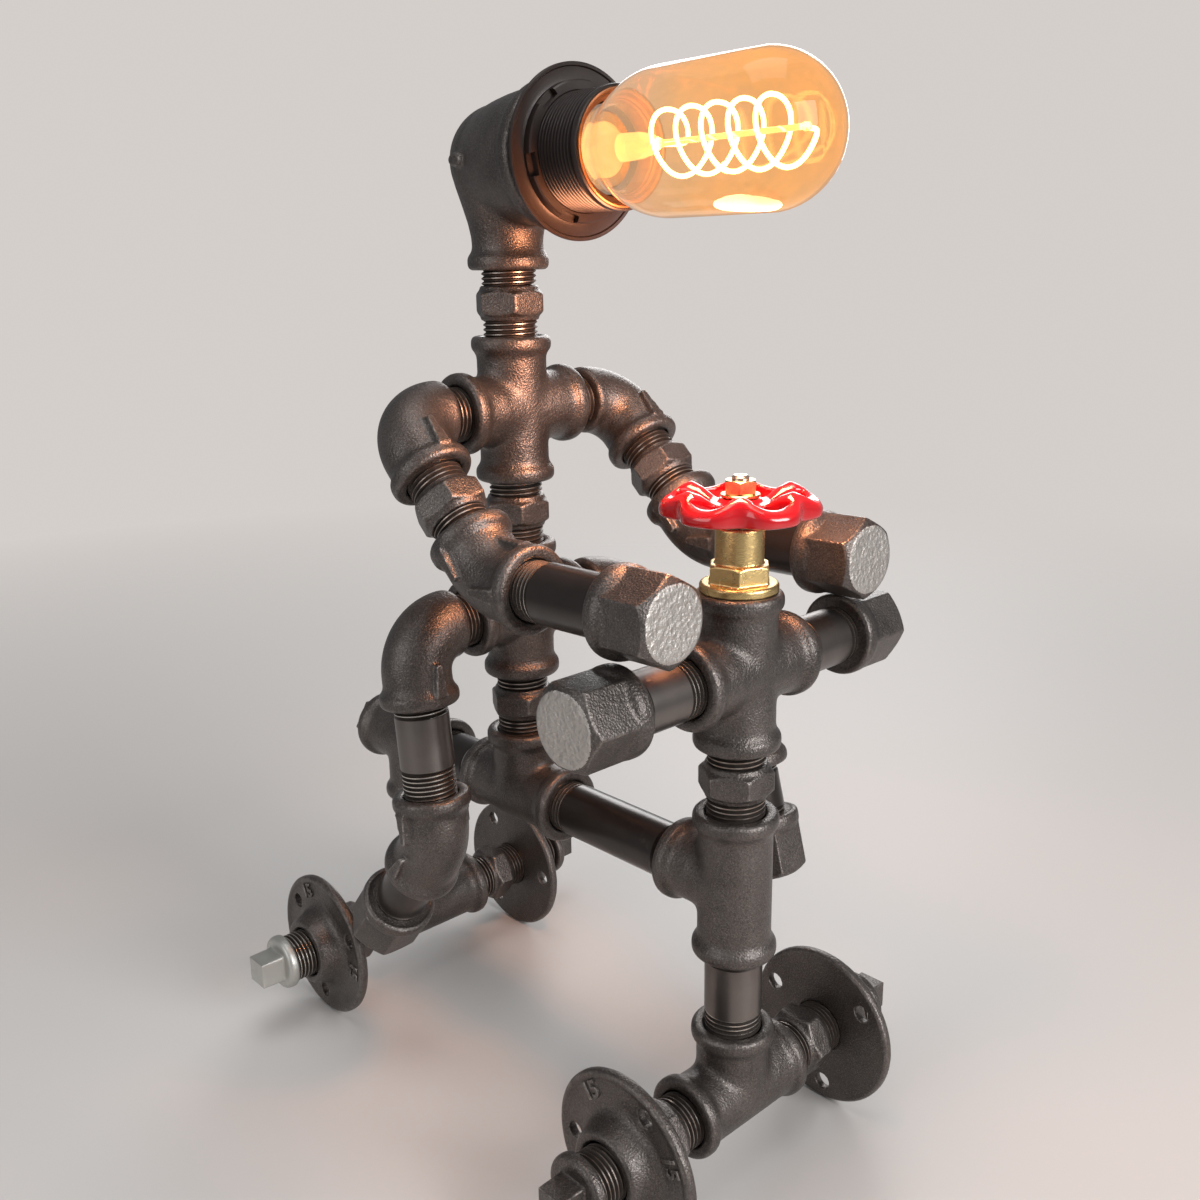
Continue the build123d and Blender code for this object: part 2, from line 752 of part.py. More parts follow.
def handwheel_washer():
    """Washer between hub and nut."""
    start = handwheel_z + handwheel_hub_height
    body = rod(washer_d / 2, start, start + washer_height)
    return Pos(0, column_y, 0) * (body - rod(stem_d / 2, start, start + washer_height))


def handwheel_nut():
    """Hex nut that holds the handwheel on the stem."""
    start = handwheel_z + handwheel_hub_height + washer_height
    body = hex_bar(nut_flats, start, start + nut_height)
    return Pos(0, column_y, 0) * (body - rod(stem_d / 2, start, start + nut_height))


# ---------------------------------------------------------------- wiring
def flex(points):
    """Round flex along straight runs joined by arcs."""
    bends = [flex_bend_r] * (len(points) - 2)
    path = FilletPolyline(*points, radius=bends) if bends else Line(*points)
    start = Plane(origin=path @ 0, z_dir=path % 0)
    return sweep(start * Circle(flex_d / 2), path)


def cable_gland():
    """Gland in the rear port, with its bore for the mains cord."""
    body = rod(spigot_r, -gland_grip_length, 0)
    body += hex_bar(gland_flats, 0, gland_hex_height)
    body += turned([
        (0, gland_hex_height),
        (gland_nose_d / 2, gland_hex_height),
        (gland_nose_d / 2 - 1.0, gland_hex_height + gland_nose_height),
        (0, gland_hex_height + gland_nose_height),
    ])
    body -= rod(gland_bore_d / 2, -gland_grip_length, gland_hex_height + gland_nose_height)
    return at((0, rear_y + centre_to_face, rail_z), BACK) * body


# ---------------------------------------------------------------- assembly
def group(*shapes):
    """Several separate solids in one node."""
    return Compound(children=list(shapes))


def frame_parts():
    """Axles, columns, rail and torso."""
    rail_front = Vector(0, column_y, rail_z)
    seat = Vector(0, 0, rail_z)
    rear = Vector(0, rear_y, rail_z)
    hip = Vector(0, 0, floor_to_hip)
    chest = Vector(0, 0, floor_to_chest)
    bar = Vector(0, column_y, bar_z)
    front_axle = Vector(0, column_y, axle_z)
    rear_axle = Vector(0, rear_y, axle_z)
    reach = centre_to_face
    return {
        "axle_tees": group(
            branched_fitting(front_axle, LEFT, [UP]),
            branched_fitting(rear_axle, LEFT, [UP])),
        "column_pipes": group(
            pipe_nipple(front_axle + UP * reach, UP, column_gap),
            pipe_nipple(rear_axle + UP * reach, UP, column_gap)),
        "column_tee": branched_fitting(rail_front, UP, [BACK]),
        "rear_tee": branched_fitting(rear, BACK, [DOWN]),
        "seat_tee": branched_fitting(seat, BACK, [UP]),
        "rail_pipes": group(
            pipe_nipple(seat + FRONT * reach, FRONT, rail_gap),
            pipe_nipple(seat + BACK * reach, BACK, rear_rail_gap)),
        "hex_nipples": group(
            hex_nipple(rail_front + UP * reach, UP, hex_gap),
            hex_nipple(seat + UP * reach, UP, hex_gap),
            hex_nipple(hip + UP * reach, UP, hex_gap),
            hex_nipple(chest + UP * reach, UP, hex_gap)),
        "hip_cross": branched_fitting(hip, UP, [LEFT, RIGHT]),
        "chest_cross": branched_fitting(chest, UP, [LEFT, RIGHT]),
        "handlebar_cross": branched_fitting(bar, UP, [LEFT, RIGHT]),
        "handlebar_pipes": group(*[
            pipe_nipple(bar + side * reach, side, handlebar_gap) for side in (RIGHT, LEFT)]),
        "handlebar_caps": group(*[
            hex_cap(bar + side * (reach + handlebar_gap), side, BACK) for side in (RIGHT, LEFT)]),
        "axle_nipples": group(*[
            hex_nipple(axle + side * reach, side, wheel_nipple_gap, wheel_thread_engaged)
            for axle in (front_axle, rear_axle) for side in (RIGHT, LEFT)]),
    }


def wheel_parts():
    """Four wheels and their plugs."""
    places = {
        "front_right": (RIGHT, column_y, front_right_hole_angle),
        "front_left": (LEFT, column_y, front_left_hole_angle),
        "rear_right": (RIGHT, rear_y, rear_right_hole_angle),
        "rear_left": (LEFT, rear_y, rear_left_hole_angle),
    }
    pieces = {}
    for name, (side, hub_y, hole_angle) in places.items():
        pieces["wheel_" + name] = wheel(side, hub_y, hole_angle)
        pieces["wheel_plug_" + name] = wheel_plug(side, hub_y)
    return pieces


def limb_parts():
    """Both arms and both legs."""
    limbs = {
        "right": {**arm(RIGHT, right_hand_gap), **leg(RIGHT, right_leg_swing, -45, right_shin_gap)},
        "left": {**arm(LEFT, left_hand_gap), **leg(LEFT, left_leg_swing, -45, left_shin_gap)},
    }
    return {piece + "_" + side: solid for side, pieces in limbs.items() for piece, solid in pieces.items()}


def head_parts():
    """Head elbow, lampholder and bulb, turned to face the front."""
    axis_turn = Rot(90, 0, 0)
    place = Pos(0, 0, head_z) * Rot(0, 0, head_turn)
    neck_top = -(head_drop - thread_engaged)
    holder_back = holder_mouth - holder_length
    core_floor = holder_back + holder_wall + core_length - screw_shell_length
    wire = flex([(0, 0, neck_top), (0, 0, 0), (0, -core_floor, 0)])
    pieces = {
        "head_elbow": head_elbow(),
        "lampholder_shell": axis_turn * lampholder_shell(),
        "shade_ring": axis_turn * shade_ring(),
        "lampholder_core": axis_turn * lampholder_core(),
        "lampholder_contacts": group(*[axis_turn * solid for solid in lampholder_contacts()]),
        "bulb_cap": axis_turn * bulb_cap(),
        "bulb_glass": axis_turn * bulb_glass(),
        "bulb_mount": axis_turn * bulb_mount(),
        "filament": axis_turn * filament(),
        "head_flex": wire,
    }
    return {name: place * solid for name, solid in pieces.items()}


def switch_parts():
    """Bonnet, dimmer, stem and handwheel."""
    return {
        "valve_bonnet": valve_bonnet(),
        "dimmer_body": dimmer_body(),
        "valve_stem": valve_stem(),
        "handwheel": handwheel(),
        "handwheel_washer": handwheel_washer(),
        "handwheel_nut": handwheel_nut(),
    }


def wiring_parts():
    """Flex in the pipes, the splice block that joins it and the gland."""
    half = splice_size / 2
    neck_top = head_z - head_drop + thread_engaged
    gland_end = rear_y + centre_to_face - gland_grip_length
    mains = flex([(0, gland_end, rail_z), (0, half, rail_z)])
    riser = flex([(0, 0, rail_z + half), (0, 0, neck_top)])
    to_dimmer = flex([
        (0, -half, rail_z),
        (0, column_y, rail_z),
        (0, column_y, bonnet_z - thread_engaged - dimmer_height)])
    return {
        "frame_flex": group(mains, riser, to_dimmer),
        "splice_block": Pos(0, 0, rail_z) * Box(splice_size, splice_size, splice_size),
        "cable_gland": cable_gland(),
    }


def main():
    """Build every node, set the origin and write one STEP file for each."""
    nodes = {**frame_parts(), **wheel_parts(), **limb_parts(), **head_parts(),
             **switch_parts(), **wiring_parts()}
    low = [min(getattr(solid.bounding_box().min, way) for solid in nodes.values()) for way in "XYZ"]
    high = [max(getattr(solid.bounding_box().max, way) for solid in nodes.values()) for way in "XYZ"]
    shift = Pos(-(low[0] + high[0]) / 2, -(low[1] + high[1]) / 2, -low[2])
    os.makedirs("parts", exist_ok=True)
    for name, solid in nodes.items():
        export_step(shift * solid, os.path.join("parts", name + ".step"))
    print("nodes", len(nodes))
    print("shift", shift.position)
    print("rail, hip, chest, head heights", rail_z, floor_to_hip, floor_to_chest, head_z)
    print("column and rear y", column_y, rear_y)


main()
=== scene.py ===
"""Dress of a table lamp made of half-inch pipe fittings: meshes, finishes, light and camera.

Every piece is modelled in millimetres about its own axis and is then set in the frame,
in metres. A port's axis is +Z, with the centre of the fitting at the origin.
"""

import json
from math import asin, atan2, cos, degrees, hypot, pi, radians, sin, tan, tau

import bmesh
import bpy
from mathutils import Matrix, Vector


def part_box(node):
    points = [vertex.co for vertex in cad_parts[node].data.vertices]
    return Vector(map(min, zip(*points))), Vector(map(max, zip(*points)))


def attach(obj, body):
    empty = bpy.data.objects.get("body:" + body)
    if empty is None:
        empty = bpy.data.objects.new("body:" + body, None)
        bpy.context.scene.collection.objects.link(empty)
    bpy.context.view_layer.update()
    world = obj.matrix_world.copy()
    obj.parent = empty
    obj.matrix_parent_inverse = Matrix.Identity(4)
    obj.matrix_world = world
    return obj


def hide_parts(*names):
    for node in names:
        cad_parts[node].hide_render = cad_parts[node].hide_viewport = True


bl_info = {
    "name": "Pipe Fitting Lamp",
    "version": (1, 0, 0),
    "blender": (4, 5, 0),
    "location": "3D View > Sidebar > Pipe Lamp",
    "description": "Builds the castings, pipes, wheels, bulb and handwheel of a posable pipe lamp",
    "category": "Add Mesh",
}

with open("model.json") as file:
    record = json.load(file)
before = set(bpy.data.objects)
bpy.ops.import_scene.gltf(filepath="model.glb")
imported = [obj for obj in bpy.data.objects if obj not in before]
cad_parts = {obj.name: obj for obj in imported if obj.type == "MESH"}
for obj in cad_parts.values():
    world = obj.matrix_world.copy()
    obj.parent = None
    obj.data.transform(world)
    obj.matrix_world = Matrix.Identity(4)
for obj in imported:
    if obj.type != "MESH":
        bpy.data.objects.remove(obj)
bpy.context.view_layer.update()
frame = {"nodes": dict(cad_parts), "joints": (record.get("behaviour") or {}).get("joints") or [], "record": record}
MM = 0.001


# ---------------------------------------------------------------- places read from the frame
def named(records, name, field):
    """A field of the record with that name, as a vector."""
    return Vector(next(record[field] for record in records if record["name"] == name))


def joint_place(name):
    """Where a joint is, in millimetres."""
    return named(frame["joints"], name, "pos_m") / MM


def node_box(name):
    """Lowest and highest corner of a CAD node, in millimetres."""
    low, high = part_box(name)
    return low / MM, high / MM


LEFT = Vector((1, 0, 0))
RIGHT = -LEFT
BACK = Vector((0, 1, 0))
FRONT = -BACK
UP = Vector((0, 0, 1))
DOWN = -UP

SHOULDER = joint_place("arm_lift_left")
HIP = joint_place("leg_lift_left")
TORSO_Y = SHOULDER.y
CHEST_CENTRE = Vector((0, TORSO_Y, SHOULDER.z))
HIP_CENTRE = Vector((0, TORSO_Y, HIP.z))
COLUMN_Y = joint_place("handwheel_turn").y
BAR_CENTRE = Vector((0, COLUMN_Y, HIP.z))
RAIL_Z = named(frame["record"]["mounts"], "cord_inlet", "pos_m").z / MM
REAR_Y = joint_place("wheel_turn_rear_left").y
AXLE_Z = joint_place("wheel_turn_rear_left").z
WHEEL_X = joint_place("wheel_turn_rear_left").x
HEAD_CENTRE = joint_place("head_turn")
SIDES = {"right": RIGHT, "left": LEFT}
KNEE_BEND = 45
THIGH_GAP = 36.0
SHIN_GAPS = {"right": 25.0, "left": 20.0}

THREAD_SINK = 3  # how far a thread goes on inside the fitting that it is screwed in
TURNED_GRAIN = 0.55  # edge of the cells that nipples, caps and wheels are remeshed in
PLUG_GRAIN = 0.4
HEAD_GRAIN = 0.65
BONNET_GRAIN = 0.34
HANDWHEEL_GRAIN = 0.42
WEB_ROUNDS = 46
CROTCH_ROUNDS = 40
SHARP_EDGE = 32


# ---------------------------------------------------------------- properties
def length(name, description, millimetres):
    """Length property with its default given in millimetres."""
    return bpy.props.FloatProperty(
        name=name, description=description, default=millimetres * MM, unit="LENGTH", precision=4)


def angle(name, description, turn):
    """Angle property with its default given in degrees."""
    return bpy.props.FloatProperty(
        name=name, description=description, default=radians(turn), unit="ROTATION", subtype="ANGLE")


def number(name, description, default):
    """Plain number property."""
    return bpy.props.FloatProperty(name=name, description=description, default=default)


def count(name, description, default):
    """Whole number property."""
    return bpy.props.IntProperty(name=name, description=description, default=default, min=1)


def colour(name, description, default):
    """Colour property."""
    return bpy.props.FloatVectorProperty(
        name=name, description=description, default=default, size=3, subtype="COLOR", min=0, max=1)


class FittingSizes(bpy.types.PropertyGroup):
    """Sizes of the beaded castings."""
    centre_to_face: length("Centre to face", "Centre of a tee, cross or elbow to its face", 28)
    face_45: length("45 degree centre to face", "Centre of a 45 degree elbow to its face", 21)
    body: length("Body radius", "Outside radius between the beads", 13.5)
    bead: length("Bead radius", "Outside radius of the bead round a port", 15.5)
    bead_width: length("Bead width", "Width of the bead along its port", 5.5)
    socket: length("Socket radius", "Radius of the recess that a thread enters", 10.9)
    bend: length("Bend radius", "Centre-line radius of a 90 degree elbow", 16.5)
    bend_45: length("45 degree bend radius", "Centre-line radius of a 45 degree elbow", 24)
    street_reach: length("Street reach", "Centre of a street elbow to the face its thread enters", 25.5)
    street_thread: length("Street thread", "Thread in view on a street elbow", 6.5)
    web: length("Web", "Size of the fillet where two ports meet", 4.5)
    rib_length: length("Rib length", "Length of the cast ribs beside a bead", 12.5)
    rib_root: length("Rib width", "Width of a rib at the bead", 5.4)
    rib_tip: length("Rib tip", "Width of a rib at its far end", 2.4)
    rib_rise: length("Rib rise", "Height of a rib over the body", 2.5)
    grain: length("Casting grain", "Edge of the cells that the skin of a casting is cast in", 0.64)


class ThreadSizes(bpy.types.PropertyGroup):
    """Sizes of the pipe thread and of the pipes and nipples that carry it."""
    pitch: length("Pitch", "Distance from crest to crest", 1.814)
    crest: length("Crest radius", "Outside radius of the thread", 10.45)
    root: length("Root radius", "Radius at the bottom of the thread", 9.55)
    pipe: length("Pipe radius", "Outside radius of a pipe nipple", 10.65)
    hex_flats: length("Hex flats", "Width across the flats of a hex nipple", 24)
    hex_width: length("Hex width", "Length of the hexagon of a hex nipple", 9)
    hex_gap: length("Hex nipple gap", "Distance between the faces that a hex nipple joins", 24.5)
    collar: length("Collar radius", "Radius of the round shoulder beside the hexagon", 11.3)


class CapSizes(bpy.types.PropertyGroup):
    """Sizes of the hex caps on hands, feet and handlebar."""
    length: length("Cap length", "Open face to closed end", 25)
    flats: length("Cap flats", "Width across the flats", 26.5)
    collar: length("Collar radius", "Radius of the round skirt at the open face", 15.5)
    collar_width: length("Collar width", "Width of the skirt", 5)
    mouth: length("Mouth radius", "Radius of the recess in the open face", 13.2)
    recess: length("Recess", "Depth of the recess in the open face", 4)
    edge: length("Edge", "Chamfer round the closed end", 2.2)


class WheelSizes(bpy.types.PropertyGroup):
    """Sizes of the floor-flange wheels and their plugs."""
    radius: length("Wheel radius", "Outside radius of a flange", 32.5)
    plate: length("Plate", "Thickness of the flange where its holes are", 3.6)
    rim_rise: length("Rim rise", "Height of the rim over the plate", 0.7)
    rim_width: length("Rim width", "Width of the raised rim", 2.6)
    height: length("Wheel height", "Flat face to the end of the boss", 13.5)
    boss: length("Boss radius", "Radius of the boss at the plate", 16.5)
    boss_tip: length("Boss tip radius", "Radius of the boss at its end", 15)
    hole: length("Hole radius", "Radius of a screw hole", 3.3)
    hole_circle: length("Hole circle radius", "Centre of the wheel to a screw hole", 25)
    holes: count("Holes", "Screw holes in a flange", 3)
    digits: length("Digit height", "Height of the raised size number", 6.4)
    plug_thread: length("Plug thread", "Thread of the plug in view", 8.5)
    plug_collar: length("Plug collar radius", "Radius of a black plug's collar", 13)
    zinc_collar: length("Zinc collar radius", "Radius of the zinc plug's collar", 12)
    plug_collar_width: length("Plug collar width", "Width of the plug's collar", 5)
    plug_square: length("Plug square", "Width across the plug's square head", 12)
    plug_square_length: length("Plug square length", "Length of the plug's square head", 10.5)


class HeadSizes(bpy.types.PropertyGroup):
    """Sizes of the head elbow and the lampholder."""
    turn: angle("Head turn", "Turn of the head towards the rider's left", -3.5)
    drop: length("Drop", "Head centre to the face of the small port", 39)
    reach: length("Reach", "Head centre to the face of the large port", 37)
    ball: length("Ball radius", "Radius of the elbow's back", 20.5)
    arm: length("Arm radius", "Radius of the large port behind its bead", 23.5)
    bead: length("Large bead radius", "Radius of the large bead", 26)
    bead_width: length("Large bead width", "Width of the large bead", 6.5)
    mouth: length("Lampholder mouth", "Head centre to the mouth of the lampholder", 67.5)
    holder: length("Lampholder radius", "Radius over the lampholder's outside thread", 20)
    holder_pitch: length("Lampholder pitch", "Crest to crest of the lampholder's outside thread", 1.75)
    skirt: length("Skirt", "Smooth end of the lampholder in front of its thread", 3.6)
    ring: length("Shade ring radius", "Outside radius of the shade ring", 29.4)
    ring_place: length("Shade ring place", "Head centre to the back of the shade ring", 40.5)
    ring_width: length("Shade ring width", "Width of the dished disc", 4.2)
    ring_rim: length("Shade ring rim", "Thickness of the disc at its rim", 1.6)
    nut: length("Ring nut radius", "Radius of the notched nut in front of the disc", 23.5)
    nut_width: length("Ring nut width", "Width of the notched nut", 2.6)
    notches: count("Notches", "Notches of the ring nut", 6)


class BulbSizes(bpy.types.PropertyGroup):
    """Sizes of the tubular bulb."""
    radius: length("Bulb radius", "Radius of the tube", 23.2)
    neck: length("Neck radius", "Radius of the neck at the cap", 14.5)
    start: length("Neck start", "Head centre to the end of the cap", 57.1)
    straight: length("Straight neck", "Length of the neck before it widens", 7)
    shoulder: length("Shoulder", "Length over which the neck widens", 27)
    tip: length("Tip", "Head centre to the tip of the glass", 156)
    wall: length("Glass wall", "Thickness of the glass", 0.8)
    coil: length("Spiral radius", "Radius of the filament's spiral", 10.4)
    wire: length("Wire radius", "Radius of the filament", 0.75)
    turns: count("Turns", "Turns of the filament's spiral", 5)
    spiral_start: length("Spiral start", "Head centre to the start of the spiral", 88)
    spiral_end: length("Spiral end", "Head centre to the end of the spiral", 143)


class ValveSizes(bpy.types.PropertyGroup):
    """Sizes of the bonnet, stem and handwheel."""
    disc: length("Disc radius", "Radius of the bonnet's disc", 13.5)
    disc_height: length("Disc height", "Height of the bonnet's disc", 3.3)
    flats: length("Bonnet flats", "Width across the flats of the bonnet", 19.5)
    hex_height: length("Bonnet hexagon height", "Height of the bonnet's hexagon", 6.5)
    tube: length("Tube radius", "Outside radius of the bonnet's tube", 8.3)
    tube_height: length("Tube height", "Height of the bonnet's tube", 12.5)
    cup: length("Cup radius", "Inside radius of the tube's open end", 6.3)
    stem: length("Stem radius", "Radius of the stem", 3)
    dish: length("Dish", "Height of the rim's edge over the hub's underside", 2.2)
    wheel: length("Handwheel radius", "Outside radius of the handwheel over its lobes", 26.95)
    turn: angle("Handwheel turn", "Rest angle of the first spoke", -19.6)
    lobes: count("Lobes", "Lobes and windows of the handwheel", 6)
    lobe_depth: length("Lobe depth", "Depth of the valley between two lobes", 1.8)
    wall: length("Handwheel wall", "Thickness of the handwheel", 2.8)
    hub: length("Hub radius", "Radius of the handwheel's hub", 7.5)
    washer: length("Washer radius", "Radius of the washer under the nut", 6.75)
    nut_flats: length("Nut flats", "Width across the flats of the nut", 10)


class StageSettings(bpy.types.PropertyGroup):
    """Camera, floor and lights."""
    camera_place: bpy.props.FloatVectorProperty(
        name="Camera place", description="Where the camera stands", size=3, subtype="XYZ",
        unit="LENGTH", default=(-0.30843, -0.35984, 0.33558))
    camera_yaw: angle("Camera yaw", "Turn of the view from +Y towards +X", 43.02)
    camera_pitch: angle("Camera pitch", "Rise of the view above the horizon", -15.47)
    camera_roll: angle("Camera roll", "Roll of the camera", -0.93)
    camera_lens: number("Lens", "Focal length in millimetres on a 36 mm sensor", 37.00)
    floor_half: bpy.props.FloatProperty(
        name="Floor half width", description="Half the width of the floor", default=4.0, unit="LENGTH")
    key_power: number("Key power", "Power of the front softbox in watts", 21.0)
    fill_power: number("Fill power", "Power of the side softbox in watts", 6.0)
    top_power: number("Top power", "Power of the overhead softbox in watts", 5.0)
    back_power: number("Back power", "Power of the rear softbox in watts", 9.0)
    bulb_power: number("Bulb power", "Power of the bulb's own warm light in watts", 1.1)
    world_strength: number("World strength", "Strength of the even light all round", 0.22)


class FinishColours(bpy.types.PropertyGroup):
    """Colours of the finishes."""
    casting_dark: colour("Casting, dark", "Hollows of the blackened castings", (0.024, 0.0205, 0.0190))
    # This pale grey paints worn edges, and also the painted glints of the castings and the painted highlight on
    # the cap ends.
    casting_light: colour("Casting, light", "Raised grains of the castings", (0.185, 0.160, 0.147))
    casting_worn: colour("Casting, worn", "Rubbed edges of the castings", (0.46, 0.42, 0.39))
    pipe: colour("Pipe", "Lacquered pipe", (0.060, 0.046, 0.040))
    satin: colour("Satin pipe", "Pipe that lost most of its lacquer", (0.19, 0.175, 0.165))
    thread: colour("Thread", "Bright crests of a cut thread", (0.62, 0.58, 0.53))
    dark_thread: colour("Dark thread", "Crests of a thread under the lacquer", (0.25, 0.195, 0.165))
    groove: colour("Thread groove", "Grooves of a cut thread", (0.085, 0.068, 0.056))
    zinc: colour("Zinc", "Galvanised plug", (0.56, 0.57, 0.54))
    brass: colour("Brass", "Bonnet, nut and washer", (0.78, 0.56, 0.25))
    enamel: colour("Enamel", "Handwheel", (0.66, 0.004, 0.010))
    holder: colour("Lampholder", "Moulded lampholder and shade ring", (0.020, 0.0125, 0.0105))
    copper: colour("Copper", "Lining of the lampholder's mouth", (0.42, 0.17, 0.08))
    glass: colour("Glass", "Amber glass", (1.0, 0.80, 0.56))
    clear: colour("Clear glass", "Glass near the neck of the bulb", (0.97, 0.90, 0.82))
    glow: colour("Glow", "Light of the filament", (1.0, 0.42, 0.08))
    floor: colour("Floor", "Pale floor", (0.66, 0.635, 0.615))
    backdrop: colour("Backdrop", "Even tone behind the lamp", (0.66, 0.62, 0.595))


# ---------------------------------------------------------------- mesh helpers
def aim(origin, way, side=None):
    """Matrix that carries local +Z along way and local +X towards side."""
    z_axis = Vector(way).normalized()
    side = side or (LEFT if abs(z_axis.x) < 0.9 else BACK)
    x_axis = (side - z_axis * side.dot(z_axis)).normalized()
    y_axis = z_axis.cross(x_axis)
    rotation = Matrix((x_axis, y_axis, z_axis)).transposed().to_4x4()
    return Matrix.Translation(origin) @ rotation


def about(axis, turn):
    """Rotation about an axis, in degrees."""
    return Matrix.Rotation(radians(turn), 4, axis)


def new_vertices(shape, before):
    """Vertices that weren't there before."""
    return [vertex for vertex in shape.verts if vertex not in before]


def close_shell(shape, vertices, place=Matrix.Identity(4)):
    """Merge doubles, fill what is open, turn the new faces outwards and set the shell in place."""
    bmesh.ops.remove_doubles(shape, verts=vertices, dist=1e-4)
    kept = [vertex for vertex in vertices if vertex.is_valid]
    open_edges = [edge for edge in linked(kept, "link_edges") if edge.is_boundary]
    if open_edges:
        bmesh.ops.holes_fill(shape, edges=open_edges, sides=0)
    bmesh.ops.recalc_face_normals(shape, faces=linked(kept, "link_faces"))
    bmesh.ops.transform(shape, matrix=place, verts=kept)


def linked(vertices, kind):
    """Edges or faces that some vertices are in, once each and in an order that never varies."""
    return list(dict.fromkeys(item for vertex in vertices for item in getattr(vertex, kind)))


def spin(shape, outline, steps, sweep=tau, ring=False, lift=0.0):
    """Faces from (radius, height) points spun about Z, with a lift. Gives their vertices."""
    before = set(shape.verts)
    start = [shape.verts.new((radius, 0, height)) for radius, height in outline]
    pairs = list(zip(start, start[1:])) + ([(start[-1], start[0])] if ring else [])
    edges = [shape.edges.new(pair) for pair in pairs]
    bmesh.ops.spin(
        shape, geom=start + edges, cent=(0, 0, 0), axis=(0, 0, 1), dvec=(0, 0, lift / steps),
        angle=sweep, steps=steps, use_merge=sweep == tau and not lift, use_duplicate=False)
    return new_vertices(shape, before)


def lathe(shape, outline, place=Matrix.Identity(4), steps=72, ring=False, sweep=tau):
    """Closed shell from (radius, height) points spun about Z. A ring's outline closes on itself."""
    close_shell(shape, spin(shape, outline, steps, sweep, ring), place)


def prism(shape, radius, sides, low, high, place=Matrix.Identity(4)):
    """Prism about Z with a flat on local +X."""
    bmesh.ops.create_cone(
        shape, cap_ends=True, cap_tris=False, segments=sides, radius1=radius, radius2=radius,
        depth=high - low,
        matrix=place @ Matrix.Translation((0, 0, (low + high) / 2)) @ about("Z", 180 / sides))


def hex_radius(flats):
    """Corner radius of a hexagon."""
    return flats / 2 / cos(pi / 6)


def as_object(shape):
    """Temporary object that holds a shape."""
    mesh = bpy.data.meshes.new("bench")
    shape.to_mesh(mesh)
    thing = bpy.data.objects.new("bench", mesh)
    bpy.context.scene.collection.objects.link(thing)
    return thing


def take_back(thing, shape):
    """Put a temporary object's finished mesh back in its shape and delete the object."""
    bpy.context.view_layer.update()
    finished = thing.evaluated_get(bpy.context.evaluated_depsgraph_get())
    shape.clear()
    shape.from_mesh(finished.to_mesh())
    finished.to_mesh_clear()
    mesh = thing.data
    bpy.data.objects.remove(thing)
    bpy.data.meshes.remove(mesh)


def combine(shape, other, operation):
    """Boolean of a shape with another one, which is used up."""
    thing = as_object(shape)
    tool = as_object(other)
    change = thing.modifiers.new("cut", "BOOLEAN")
    change.operation = operation
    change.solver = "EXACT"
    change.object = tool
    take_back(thing, shape)
    mesh = tool.data
    bpy.data.objects.remove(tool)
    bpy.data.meshes.remove(mesh)
    other.free()


def soften(shape, rounds, vertices=None):
    """Even out a dense mesh, or a part of it."""
    vertices = list(shape.verts) if vertices is None else vertices
    for _ in range(rounds):
        bmesh.ops.smooth_vert(
            shape, verts=vertices, factor=0.5, use_axis_x=True, use_axis_y=True, use_axis_z=True)


def cast(shape, grain, rounds=2):
    """Melt overlapping closed shells into one skin with rounded edges."""
    thing = as_object(shape)
    change = thing.modifiers.new("cast", "REMESH")
    change.mode = "VOXEL"
    change.voxel_size = grain
    change.adaptivity = 0
    take_back(thing, shape)
    soften(shape, rounds)


def join(shape, other):
    """Add another shape, which is used up, to this one."""
    mesh = bpy.data.meshes.new("bench")
    other.to_mesh(mesh)
    other.free()
    shape.from_mesh(mesh)
    bpy.data.meshes.remove(mesh)


def turned_hexagon(flats, low, high, outline, steps=72):
    """Hexagonal prism about Z with its corners turned down to an outline."""
    shape, turned = bmesh.new(), bmesh.new()
    prism(shape, hex_radius(flats), 6, low, high)
    lathe(turned, outline, steps=steps)
    combine(shape, turned, "INTERSECT")
    return shape


def add_curve(shape, curve):
    """Add a curve's solid to a shape and delete the curve. Gives the new vertices."""
    holder = bpy.data.objects.new(curve.name, curve)
    bpy.context.scene.collection.objects.link(holder)
    bpy.context.view_layer.update()
    mesh = bpy.data.meshes.new_from_object(holder)
    bpy.data.objects.remove(holder)
    bpy.data.curves.remove(curve)
    before = set(shape.verts)
    shape.from_mesh(mesh)
    bpy.data.meshes.remove(mesh)
    return new_vertices(shape, before)


def set_piece(name, shape, place, skin, body, nodes, slot="black_casting"):
    """Make a shape a piece of the lamp: in its place, with its finishes, on its body."""
    name = name.replace(" ", "_")
    mesh = bpy.data.meshes.new(name)
    shape.to_mesh(mesh)
    mesh.transform(Matrix.Scale(MM, 4) @ place)
    for material in skin:
        mesh.materials.append(material)
    mesh.shade_smooth()
    mesh.set_sharp_from_angle(angle=radians(SHARP_EDGE))
    piece = bpy.data.objects.new(name, mesh)
    bpy.context.scene.collection.objects.link(piece)
    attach(piece, body)
    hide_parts(*nodes)


def sizes(*names):
    """Property groups of the scene by name, with their lengths in millimetres."""
    return [Millimetres(getattr(bpy.context.scene, "pipe_lamp_" + name)) for name in names]


class Millimetres:
    """Reads a property group's lengths in millimetres, and its counts and angles as they are."""

    def __init__(self, group):
        self._group = group

    def __getattr__(self, name):
        value = getattr(self._group, name)
        unit = self._group.bl_rna.properties[name].unit
        return value / MM if unit == "LENGTH" else value


